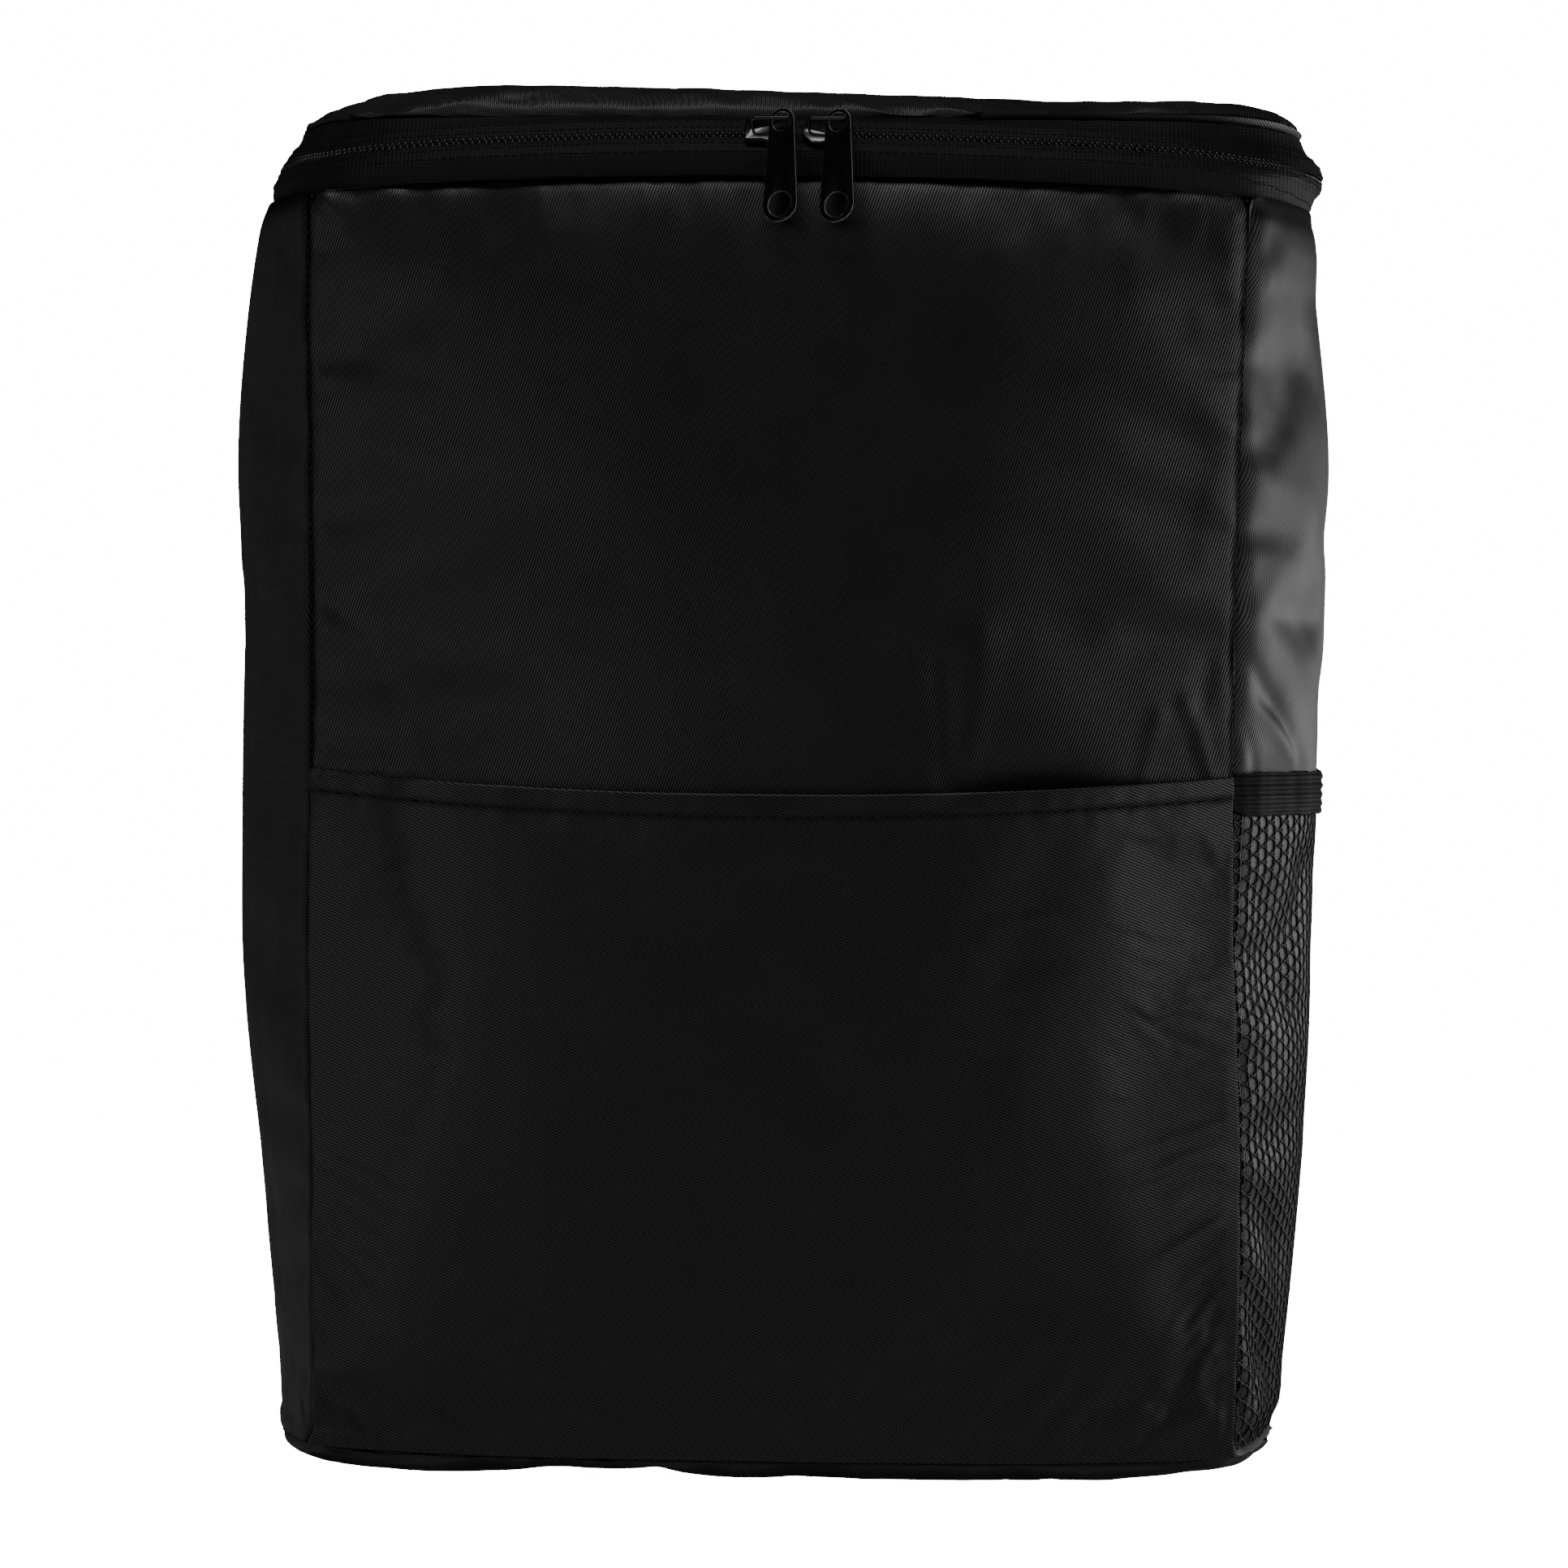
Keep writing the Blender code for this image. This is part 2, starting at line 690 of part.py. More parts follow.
def make_chains(collection):
    """The closed coil on each side, from the back corner to just short of its slider's post."""
    half = CHAIN_WIDTH / 2
    loops = strip_loops((chain_edge(-half), chain_edge(half)), CHAIN_BACK, CHAIN_FRONT)
    line = band_line(0.5)
    inside = SLIDER_LENGTH / 2 - 2.2 * POST_LENGTH
    left_end, right_end = SLIDER_LEFT_X + inside, SLIDER_RIGHT_X - inside
    left = max(k for k in range(len(line)) if line[k].x < left_end and line[k].y < 0)
    right = min(k for k in range(len(line)) if line[k].x > right_end)

    def cut(k, step, end):
        share = (end - line[k].x) / (line[k + step].x - line[k].x)
        return [a.lerp(b, share) for a, b in zip(loops[k], loops[k + step])]

    runs = {
        "zip_chain_left": loops[: left + 1] + [cut(left, 1, left_end)],
        "zip_chain_right": [cut(right, -1, right_end)] + loops[right:],
    }
    for name, run in runs.items():
        add_piece(name, swept_mesh(name, run), "zip_coil", collection)


def make_lid(collection):
    body = body_at(1.0)
    places = ring_places(RING_FRONT)

    def ring(inset, height_share, lower):
        points = []
        flat = []
        for span, place in places:
            lean = TAPE_LEAN_FRONT if span == "front" else TAPE_LEAN_SIDE
            spot = outline_point(body, span, place, TAPE_LEAN_SIDE + inset)
            extra = (lean - TAPE_LEAN_SIDE) * dome(place, 8)
            flat.append(spot + Vector((0.0, extra)) if span == "front" else spot)
        for spot in softened(flat, 4):
            across = spot.x / body.half_width
            crown = LID_CROWN * read_table(CROWN_ROWS, "height", across, "across")
            points.append(Vector((spot.x, spot.y, LID_SEAM + crown * height_share - lower)))
        return points

    outer = [ring(row.inset * SEAM_HALF_DEPTH, row.height, 0.0) for row in LID_ROWS]
    inner = [ring(WALL, 0.0, 0.0)]
    inner += [ring(WALL + row.inset * SEAM_HALF_DEPTH, row.height, WALL) for row in LID_ROWS[3:]]
    mesh = ringed_mesh("lid_panel", outer, inner, RING_FRONT)
    add_piece("lid_panel", mesh, "shell_cloth", collection)


def pocket_stand_off(across, up):
    """How far the front pocket's cloth stands off the wall: closed at its seams, open at its mouth."""
    return PIECE_GAP + POCKET_GAPE * dome(across, 4) * math.sin(up * math.pi / 2) ** 0.8


def pocket_height(across, up):
    foot = front_height(across, 0.0) + PIECE_GAP
    mouth = POCKET_HEIGHT + POCKET_DIP * (1 - dome(across))
    return foot + (mouth - foot) * up


def pocket_surface(out):
    def point(across, up):
        height = pocket_height(across, up)
        at = wall_share(height)
        hem = HEM_FOLD if height > pocket_height(across, 1.0) - POCKET_HEM else 0.0
        pressed = fold_depth(POCKET_FOLDS, across, up, 2 * SEAM_HALF_WIDTH, POCKET_HEIGHT)
        off = pocket_stand_off(across, up) + max(pressed, 0.0) * dome(up * 2 - 1, 4)
        reach = body_at(at).half_width - CORNER_TRIM
        shift = out + (hem if out > 0 else 0.0)
        return Vector((across * reach, front_y(across, at) - off - shift, height))

    return point


def make_pocket(collection):
    outer, inner = pocket_surface(POCKET_CLOTH), pocket_surface(0.0)
    mesh = panel_mesh("front_pocket", outer, inner, FRONT_COLUMNS, spread(POCKET_LEVELS, 0.0, 1.0))
    add_piece("front_pocket", mesh, "pocket_cloth", collection)


def net_point(along, height, out):
    """A point on the side pocket, which stands off the right gusset and closes on it at the seams."""
    at = wall_share(height)
    body = body_at(at)
    wall = body.half_width + body.right * dome(along)
    pressed = fold_depth(GUSSET_FOLDS, along, at, 2 * SEAM_HALF_DEPTH, PANEL_TOP)
    pocket = body.half_width + body.net * dome(along)
    stand_off = max(pocket - wall - pressed, PIECE_GAP * 2)
    reach = body.half_depth - CORNER_TRIM
    return Vector((wall + pressed + stand_off + out, along * reach, height))


def make_net(collection):
    """Cells laid like bricks, each with a six-sided hole through it."""
    foot, top = NET_FOOT, NET_TOP - PIECE_GAP
    half_cell = 1.0 / NET_COLUMNS
    row_height = (top - foot) / NET_ROWS
    shape = bmesh.new()
    spots = {}

    def vertex(along, height):
        key = (round(along, 6), round(height, 6))
        if key not in spots:
            spots[key] = shape.verts.new(net_point(along, height, 0.0))
        return spots[key]

    for row in range(NET_ROWS):
        low, high = foot + row * row_height, foot + (row + 1) * row_height
        start = -1.0 + (row % 2) * half_cell
        cells = NET_COLUMNS - row % 2
        for cell in range(cells):
            left = start + 2 * cell * half_cell
            middle, right = left + half_cell, left + 2 * half_cell
            rim = [(left, low), (middle, low), (right, low), (right, high), (middle, high), (left, high)]
            centre_height = (low + high) / 2
            hole = []
            for k in range(6):
                angle = math.radians(-150 + 60 * k)
                side = math.cos(angle) * half_cell * NET_HOLE_SHARE * 1.12
                up = math.sin(angle) * row_height / 2 * NET_HOLE_SHARE * 1.12
                hole.append((middle + side, centre_height + up))
            for k in range(6):
                after = (k + 1) % 6
                shape.faces.new(
                    (vertex(*rim[k]), vertex(*rim[after]), vertex(*hole[after]), vertex(*hole[k]))
                )
        if row % 2:
            for left, right in ((-1.0, -1.0 + half_cell), (1.0 - half_cell, 1.0)):
                corners = ((left, low), (right, low), (right, high), (left, high))
                shape.faces.new([vertex(*corner) for corner in corners])
    bmesh.ops.recalc_face_normals(shape, faces=shape.faces)
    mesh = bpy.data.meshes.new("mesh_pocket")
    shape.to_mesh(mesh)
    shape.free()
    net = add_piece("mesh_pocket", mesh, "net", collection)
    wall = net.modifiers.new("cloth", "SOLIDIFY")
    wall.thickness = NET_CLOTH
    wall.offset = 1.0


def make_elastic(collection):
    """A ribbed band along the net's mouth, drawn a little in at its middle."""
    loops = []
    rows = 2 * ELASTIC_RIBS
    for along in spread(14):
        front = []
        back = []
        for k in range(rows + 1):
            height = NET_TOP + ELASTIC_HEIGHT * k / rows
            rib = ELASTIC_RIB * (k % 2)
            front.append(net_point(along, height, ELASTIC_THICKNESS + rib))
        for height in (NET_TOP + ELASTIC_HEIGHT, NET_TOP):
            back.append(net_point(along, height, 0.0))
        loops.append(front + back)
    add_piece("pocket_elastic", swept_mesh("pocket_elastic", loops), "elastic", collection)


def add_outline(spline_points, curve):
    spline = curve.splines.new("POLY")
    spline.points.add(len(spline_points) - 1)
    for point, (x, y) in zip(spline.points, spline_points):
        point.co = (x, y, 0.0, 1.0)
    spline.use_cyclic_u = True


def plate_mesh(name, outlines, thickness, bevel=0.0):
    """A flat plate in the XY plane with this thickness, cut by every outline after the first."""
    curve = bpy.data.curves.new(name, "CURVE")
    curve.dimensions = "2D"
    curve.fill_mode = "BOTH"
    curve.extrude = thickness / 2 - bevel
    curve.bevel_depth = bevel
    curve.bevel_resolution = 0
    curve.offset = -bevel
    for outline in outlines:
        add_outline(outline, curve)
    holder = bpy.data.objects.new(name, curve)
    bpy.context.scene.collection.objects.link(holder)
    graph = bpy.context.evaluated_depsgraph_get()
    mesh = bpy.data.meshes.new_from_object(holder.evaluated_get(graph))
    bpy.data.objects.remove(holder, do_unlink=True)
    bpy.data.curves.remove(curve)
    shape = bmesh.new()
    shape.from_mesh(mesh)
    bmesh.ops.remove_doubles(shape, verts=shape.verts, dist=1e-6)
    bmesh.ops.recalc_face_normals(shape, faces=shape.faces)
    shape.to_mesh(mesh)
    shape.free()
    return mesh


def arc(centre_x, centre_y, radius_x, radius_y, start, end, steps):
    """Points on an arc between two angles in degrees."""
    angles = [math.radians(start + (end - start) * i / steps) for i in range(steps + 1)]
    return [(centre_x + radius_x * math.cos(a), centre_y + radius_y * math.sin(a)) for a in angles]


def circle(centre_x, centre_y, radius, sides):
    return arc(centre_x, centre_y, radius, radius, 0, 360, sides)[:-1]


def slider_outline():
    """A plate along X: straight and narrow at its tail (-X), wide and round at its head."""
    half, wide, tail = SLIDER_LENGTH / 2, SLIDER_WIDTH / 2, SLIDER_TAIL_WIDTH / 2
    round_start = half - wide
    head = arc(round_start, 0.0, wide, wide, -90, 90, 10)
    neck = -half * 0.35
    return [(-half, -tail), (neck, -tail)] + head + [(neck, tail), (-half, tail)]


def bridge_mesh():
    """The wire bridge that the pull hangs on: two feet on the plate and a bar along X."""
    head_x = PULL_X + PULL_TOP_RADIUS * 0.82
    foot, top = PLATE_FRONT - SLIDER_PLATE / 2, PLATE_FRONT + BRIDGE_HEIGHT
    bend = 1.6 * BRIDGE_WIRE
    route = [
        (BRIDGE_TAIL_X, foot),
        (BRIDGE_TAIL_X, top - bend),
        (BRIDGE_TAIL_X + bend, top),
        (head_x - bend / 2, top),
        (head_x, top - bend / 2),
        (head_x, foot),
    ]
    curve = bpy.data.curves.new("bridge", "CURVE")
    curve.dimensions = "3D"
    curve.bevel_depth = BRIDGE_WIRE
    curve.bevel_resolution = 2
    curve.use_fill_caps = True
    spline = curve.splines.new("POLY")
    spline.points.add(len(route) - 1)
    for point, (x, out) in zip(spline.points, route):
        point.co = (x, -out, 0.0, 1.0)
    holder = bpy.data.objects.new("bridge", curve)
    bpy.context.scene.collection.objects.link(holder)
    graph = bpy.context.evaluated_depsgraph_get()
    mesh = bpy.data.meshes.new_from_object(holder.evaluated_get(graph))
    bpy.data.objects.remove(holder, do_unlink=True)
    shape = bmesh.new()
    shape.from_mesh(mesh)
    bmesh.ops.remove_doubles(shape, verts=shape.verts, dist=1e-6)
    bmesh.ops.recalc_face_normals(shape, faces=shape.faces)
    shape.to_mesh(mesh)
    shape.free()
    return mesh


# Faces of the slider's two plates, measured out from the tape's middle
PLATE_FRONT = CHAIN_FRONT + PIECE_GAP + SLIDER_PLATE
PLATE_BACK = -(CHAIN_BACK + PIECE_GAP)


def join_solids(piece, others, cutters):
    """Unites the other meshes with the piece by Boolean modifiers."""
    for mesh in others:
        helper = bpy.data.objects.new(mesh.name + "_helper", mesh)
        helper.matrix_world = piece.matrix_world
        helper.hide_render = True
        helper.display_type = "WIRE"
        cutters.objects.link(helper)
        union = piece.modifiers.new(mesh.name, "BOOLEAN")
        union.operation = "UNION"
        union.solver = "EXACT"
        union.object = helper


def make_slider(name, x, head_side, collection, cutters):
    """A slider on the chain at this X, with its round head towards +X (1) or -X (-1)."""
    to_front = Matrix.Rotation(math.radians(90), 4, "X")
    turn = Matrix.Scale(-1, 4, (1, 0, 0)) if head_side < 0 else Matrix.Identity(4)

    def placed(mesh, out):
        mesh.transform(Matrix.Translation((0.0, -out, 0.0)) @ to_front)
        mesh.transform(turn)
        if head_side < 0:
            mesh.flip_normals()
        return mesh

    bevel = SLIDER_PLATE * 0.2
    front = placed(
        plate_mesh(name + "_front", [slider_outline()], SLIDER_PLATE, bevel), PLATE_FRONT - SLIDER_PLATE / 2
    )
    back = placed(
        plate_mesh(name + "_back", [slider_outline()], SLIDER_PLATE), PLATE_BACK - SLIDER_PLATE / 2
    )
    post = bmesh.new()
    bmesh.ops.create_cube(post, size=1.0)
    depth = PLATE_FRONT - PLATE_BACK
    size = Matrix.Diagonal((POST_LENGTH, depth, POST_WIDTH, 1.0))
    post_x = head_side * (SLIDER_LENGTH / 2 - POST_LENGTH)
    place = Matrix.Translation((post_x, -(PLATE_FRONT + PLATE_BACK - SLIDER_PLATE) / 2, 0.0))
    bmesh.ops.transform(post, matrix=place @ size, verts=post.verts)
    post_mesh = bpy.data.meshes.new(name + "_post")
    post.to_mesh(post_mesh)
    post.free()
    piece = add_piece(name, front, "zip_metal", collection)
    piece.matrix_world = chain_frame(x)
    bridge = bridge_mesh()
    bridge.name = name + "_bridge"
    join_solids(piece, (back, post_mesh, bridge), cutters)
    return piece


def pull_outline():
    """The pull in its own plane: the bridge's bar crosses it at the origin, and it hangs along -Y."""
    top = arc(0.0, -PULL_EYE_DROP, PULL_TOP_RADIUS, PULL_TOP_RADIUS, 0, 180, 12)
    end_centre = -(PULL_DROP - PULL_END_RADIUS)
    end = arc(0.0, end_centre, PULL_END_RADIUS, PULL_END_RADIUS, 180, 360, 14)
    return top + end


def make_pull(name, x, collection):
    """A pull on the bridge of the slider at this X. Its origin is on its hinge's axis, along X."""
    end_centre = -(PULL_DROP - PULL_END_RADIUS)
    outlines = [
        pull_outline(),
        circle(0.0, -PULL_EYE_DROP, PULL_EYE, 20),
        circle(0.0, end_centre, PULL_HOLE, 20),
    ]
    mesh = plate_mesh(name, outlines, PULL_THICKNESS)
    mesh.transform(Matrix.Rotation(math.radians(90), 4, "X"))
    mesh.transform(Matrix.Rotation(-PULL_TURN, 4, "Z"))
    mesh.transform(Matrix.Rotation(-PULL_LEAN, 4, "X"))
    pull = add_piece(name, mesh, "zip_metal", collection)
    pull.location = pull_pivot(x)
    return pull


def pull_pivot(x):
    """Where the bridge's bar crosses the pull."""
    return chain_frame(x) @ Vector((PULL_X, -(PLATE_FRONT + BRIDGE_HEIGHT), 0.0))


def back_face_y(x, height):
    """The back wall's outer face at this place."""
    at = wall_share(height)
    return back_surface(0.0)(x / body_at(min(at, 1.0)).half_width, at).y


def band_loop(centre, across, normal, width, thickness):
    """The corners of a flat strip's section with its long edges eased."""
    ease = min(thickness, width) / 4
    half_width, half_thick = width / 2, thickness / 2
    corners = (
        (-half_width + ease, -half_thick),
        (half_width - ease, -half_thick),
        (half_width, -half_thick + ease),
        (half_width, half_thick - ease),
        (half_width - ease, half_thick),
        (-half_width + ease, half_thick),
        (-half_width, half_thick - ease),
        (-half_width, -half_thick + ease),
    )
    return [centre + across * u + normal * v for u, v in corners]


def strip_mesh(name, centres, widths, thickness):
    """A flat strip down through these centres, its width along X and its two ends cut level."""
    loops = []
    last = len(centres) - 1
    across = Vector((1.0, 0.0, 0.0))
    for i, centre in enumerate(centres):
        normal = Vector((0.0, 1.0, 0.0))
        if 0 < i < last:
            along = centres[i + 1] - centres[i - 1]
            normal = Vector((0.0, -along.z, along.y)).normalized()
        loops.append(band_loop(centre, across, normal, widths[i], thickness))
    return swept_mesh(name, loops)


def strap_centre(side, share):
    """The middle of the padded strap at this share of its run."""
    height = STRAP_TOP + (STRAP_FOOT - STRAP_TOP) * share
    x = STRAP_TOP_X + (STRAP_FOOT_X - STRAP_TOP_X) * read_table(STRAP_ROWS, "sideways", share)
    seat = back_face_y(x - STRAP_WIDTH / 2, height) + STRAP_THICKNESS / 2 + PIECE_GAP
    out = STRAP_STAND_OUT * read_table(STRAP_ROWS, "out", share)
    return Vector((side * x, seat + out, height))


def make_straps(collection):
    for side, word in ((-1, "left"), (1, "right")):
        shares = spread(16, 0.0, 1.0)
        centres = [strap_centre(side, share) for share in shares]
        widths = [STRAP_WIDTH * read_table(STRAP_ROWS, "width", share) for share in shares]
        name = "shoulder_strap_" + word
        mesh = strip_mesh(name, centres, widths, STRAP_THICKNESS)
        add_piece(name, mesh, "strap_cloth", collection)
        foot = centres[-1]
        make_adjuster("strap_adjuster_" + word, foot, collection)
        make_webbing("strap_webbing_" + word, side, foot, collection)


def make_adjuster(name, foot, collection):
    """A ladder lock below the padded strap's foot, with two slots for the webbing."""
    half_width, half_length = ADJUSTER_WIDTH / 2, ADJUSTER_LENGTH / 2
    slot_half = WEBBING_WIDTH / 2 + PIECE_GAP
    bar = ADJUSTER_LENGTH * 0.16
    frame = [
        (-half_width, -half_length),
        (half_width, -half_length),
        (half_width, half_length),
        (-half_width, half_length),
    ]
    slot_height = (ADJUSTER_LENGTH - 3 * bar) / 2
    outlines = [frame]
    for low in (-half_length + bar, bar / 2):
        outlines.append(
            [(-slot_half, low), (slot_half, low), (slot_half, low + slot_height), (-slot_half, low + slot_height)]
        )
    mesh = plate_mesh(name, outlines, ADJUSTER_THICKNESS, ADJUSTER_THICKNESS * 0.15)
    mesh.transform(Matrix.Rotation(math.radians(90), 4, "X"))
    piece = add_piece(name, mesh, "adjuster_plastic", collection)
    piece.location = adjuster_place(foot)


def adjuster_place(foot):
    return foot - Vector((0.0, 0.0, ADJUSTER_LENGTH / 2 + PIECE_GAP))


def make_webbing(name, side, foot, collection):
    """Webbing from behind the adjuster down to the foot of the back wall."""
    place = adjuster_place(foot)
    behind = ADJUSTER_THICKNESS / 2 + WEBBING_THICKNESS / 2 + PIECE_GAP
    start = place + Vector((0.0, -behind, ADJUSTER_LENGTH / 2))
    low = place + Vector((0.0, -behind, -ADJUSTER_LENGTH / 2))
    seat_y = back_face_y(WEBBING_FOOT_X, WEBBING_FOOT) + WEBBING_THICKNESS / 2 + PIECE_GAP
    end = Vector((side * WEBBING_FOOT_X, seat_y, WEBBING_FOOT))
    centres = [start, low]
    for share in spread(8, 0.0, 1.0)[1:]:
        eased = share * share * (3 - 2 * share)
        y = low.y + (end.y - low.y) * eased
        centres.append(Vector((low.x + (end.x - low.x) * share, y, low.z + (end.z - low.z) * share)))
    mesh = strip_mesh(name, centres, [WEBBING_WIDTH] * len(centres), WEBBING_THICKNESS)
    add_piece(name, mesh, "webbing", collection)


def make_grab_loop(collection):
    """A webbing handle sewn by its two ends to the top of the back wall."""
    loops = []
    low_edge = GRAB_HEIGHT - GRAB_WIDTH / 2
    for across in spread(16):
        x = across * GRAB_HALF_SPAN
        seat = back_face_y(x, low_edge) + WEBBING_THICKNESS / 2 + PIECE_GAP
        lift = dome(across, 4) ** 1.5
        centre = Vector((x, seat + GRAB_STAND_OUT * lift, GRAB_HEIGHT))
        ahead = min(across + 0.02, 1.0)
        behind = max(across - 0.02, -1.0)
        rise = GRAB_STAND_OUT * (dome(ahead, 4) ** 1.5 - dome(behind, 4) ** 1.5)
        along = Vector(((ahead - behind) * GRAB_HALF_SPAN, rise, 0.0)).normalized()
        normal = Vector((-along.y, along.x, 0.0))
        upward = Vector((0.0, 0.0, 1.0))
        loops.append(band_loop(centre, upward, normal, GRAB_WIDTH, WEBBING_THICKNESS))
    add_piece("grab_loop", swept_mesh("grab_loop", loops), "webbing", collection)


def main():
    clear_scene()
    bag = new_collection("cooler_backpack")
    cutters = new_collection("cutters", hidden=True)
    make_walls(bag)
    make_base(bag)
    make_lid(bag)
    make_band(bag)
    make_chains(bag)
    make_pocket(bag)
    make_net(bag)
    make_elastic(bag)
    make_slider("zip_slider_left", SLIDER_LEFT_X, 1, bag, cutters)
    make_slider("zip_slider_right", SLIDER_RIGHT_X, -1, bag, cutters)
    make_pull("zip_pull_left", SLIDER_LEFT_X, bag)
    make_pull("zip_pull_right", SLIDER_RIGHT_X, bag)
    make_straps(bag)
    make_grab_loop(bag)


main()
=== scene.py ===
# %% [markdown]
# A black cooler backpack stands on its base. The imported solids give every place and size.
# Each soft part gets its own dressed piece here, and each hard part a bevelled one.
# Everything is in metres, with the front of the bag towards -Y.

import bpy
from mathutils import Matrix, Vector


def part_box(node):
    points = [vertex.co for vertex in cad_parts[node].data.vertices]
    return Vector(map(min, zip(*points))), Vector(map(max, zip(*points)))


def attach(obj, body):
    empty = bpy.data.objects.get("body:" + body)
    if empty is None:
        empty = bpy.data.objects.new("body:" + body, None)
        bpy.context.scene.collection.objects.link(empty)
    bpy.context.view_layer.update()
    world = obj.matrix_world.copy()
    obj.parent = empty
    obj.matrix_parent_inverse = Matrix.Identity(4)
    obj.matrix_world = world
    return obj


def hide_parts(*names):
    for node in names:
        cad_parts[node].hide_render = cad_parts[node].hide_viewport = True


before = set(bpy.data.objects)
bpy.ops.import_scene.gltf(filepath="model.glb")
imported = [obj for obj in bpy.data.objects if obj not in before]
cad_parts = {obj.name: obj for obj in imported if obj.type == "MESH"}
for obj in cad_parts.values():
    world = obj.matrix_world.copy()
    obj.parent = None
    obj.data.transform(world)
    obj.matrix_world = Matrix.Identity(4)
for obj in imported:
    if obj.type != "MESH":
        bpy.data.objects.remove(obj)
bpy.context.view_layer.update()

# %% [markdown]
# A few helpers come first. Operators work on whatever is selected, so each helper picks its
# piece before it acts. Vertex places are read and written as one array, which is quick.

# %% Picking, reading and finishing a piece
import math
from collections import namedtuple

import bpy
import numpy as np
from mathutils import Matrix, Vector, kdtree, noise

BAG = "bag"


def pick(*pieces):
    if bpy.context.object and bpy.context.object.mode != "OBJECT":
        bpy.ops.object.mode_set(mode="OBJECT")
    bpy.ops.object.select_all(action="DESELECT")
    for piece in pieces:
        piece.select_set(True)
    bpy.context.view_layer.objects.active = pieces[0]


def points_of(piece):
    places = np.zeros(len(piece.data.vertices) * 3, np.float32)
    piece.data.vertices.foreach_get("co", places)
    return places.reshape(-1, 3).astype(float)


def normals_of(piece):
    ways = np.zeros(len(piece.data.vertices) * 3, np.float32)
    piece.data.vertices.foreach_get("normal", ways)
    return ways.reshape(-1, 3).astype(float)


def move_points(piece, places):
    piece.data.vertices.foreach_set("co", places.astype(np.float32).ravel())
    piece.data.update()


def write_values(piece, name, domain, values):
    """Gives each vertex, edge or face one number under this name, as an attribute."""
    made = piece.data.attributes.new(name, "FLOAT", domain)
    made.data.foreach_set("value", values)


def tree_of(spots):
    """A search tree of these places, which finds the one nearest to any other."""
    tree = kdtree.KDTree(len(spots))
    for i, spot in enumerate(spots):
        tree.insert(Vector(spot), i)
    tree.balance()
    return tree


def apply_modifier(piece, kind, **settings):
    """Adds a modifier with these settings and applies it."""
    pick(piece)
    modifier = piece.modifiers.new(kind.lower(), kind)
    for name, value in settings.items():
        setattr(modifier, name, value)
    bpy.ops.object.modifier_apply(modifier=modifier.name)


def subdivide(piece, levels):
    apply_modifier(
        piece, "SUBSURF", levels=levels, render_levels=levels, boundary_smooth="PRESERVE_CORNERS",
    )


def bevel(piece, width, segments, angle):
    limit = math.radians(angle)
    apply_modifier(piece, "BEVEL", width=width, segments=segments, limit_method="ANGLE", angle_limit=limit)


def edit_faces(piece, chosen=None):
    """Goes into edit mode with these faces selected, or with all of them."""
    pick(piece)
    bpy.ops.object.mode_set(mode="EDIT")
    bpy.ops.mesh.select_mode(type="FACE")
    bpy.ops.mesh.select_all(action="SELECT" if chosen is None else "DESELECT")
    if chosen is not None:
        bpy.ops.object.mode_set(mode="OBJECT")
        for face, wanted in zip(piece.data.polygons, chosen):
            face.select = bool(wanted)
        bpy.ops.object.mode_set(mode="EDIT")


def shade(piece, angle=None):
    pick(piece)
    if angle is None:
        bpy.ops.object.shade_smooth()
    else:
        bpy.ops.object.shade_smooth_by_angle(angle=math.radians(angle))


def settle(piece, material, body=BAG, stands_for=()):
    """Gives a finished piece its material and its body, and hides the solids that it stands for."""
    piece.data.materials.clear()
    piece.data.materials.append(material)
    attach(piece, body)
    if stands_for:
        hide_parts(*stands_for)
    print(piece.name, "has", sum(len(f.vertices) - 2 for f in piece.data.polygons), "triangles")


def merged_copy(node, name):
    """A copy of a solid whose loose triangles are joined and paired into quads again."""
    piece = bpy.data.objects.new(name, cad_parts[node].data.copy())
    bpy.context.scene.collection.objects.link(piece)
    pick(piece)
    bpy.ops.mesh.customdata_custom_splitnormals_clear()
    bpy.ops.object.mode_set(mode="EDIT")
    bpy.ops.mesh.select_all(action="SELECT")
    bpy.ops.mesh.remove_doubles(threshold=1e-5)
    bpy.ops.mesh.tris_convert_to_quads(face_threshold=math.radians(45), shape_threshold=math.radians(70))
    bpy.ops.object.mode_set(mode="OBJECT")
    return piece


# %% [markdown]
# The camera stands where the photograph was taken from: 1.78 m away, hardly above the middle
# of the bag and a few degrees to its right. The long lens keeps the sides nearly parallel.

# %% Camera
CAMERA_DISTANCE = 1.7825
CAMERA_AZIMUTH = math.radians(2.7)
CAMERA_ELEVATION = math.radians(1.0)
CAMERA_AIM = 0.1966
CAMERA_ROLL = math.radians(0.5)
CAMERA_LENS = 137.72

across = math.cos(CAMERA_ELEVATION)
view_way = Vector((
    math.sin(CAMERA_AZIMUTH) * across, -math.cos(CAMERA_AZIMUTH) * across, math.sin(CAMERA_ELEVATION),
))
camera_place = view_way * CAMERA_DISTANCE + Vector((0, 0, CAMERA_AIM))
bpy.ops.object.camera_add(location=camera_place)
camera = bpy.context.object
turn = view_way.to_track_quat("Z", "Y") @ Matrix.Rotation(CAMERA_ROLL, 3, "Z").to_quaternion()
camera.rotation_euler = turn.to_euler()
camera.data.lens = CAMERA_LENS
camera.data.clip_end = 50
bpy.context.scene.camera = camera
print("camera at", tuple(round(v, 3) for v in camera_place))

# %% [markdown]
# Studio light for a black bag. An evenly lit sky would show black cloth as one flat shape: it
# only shows where a softbox is mirrored in its sheen. Boxes of different sizes stand right and
# left of the bag, and one hangs over its front. Only the camera sees the white around it.

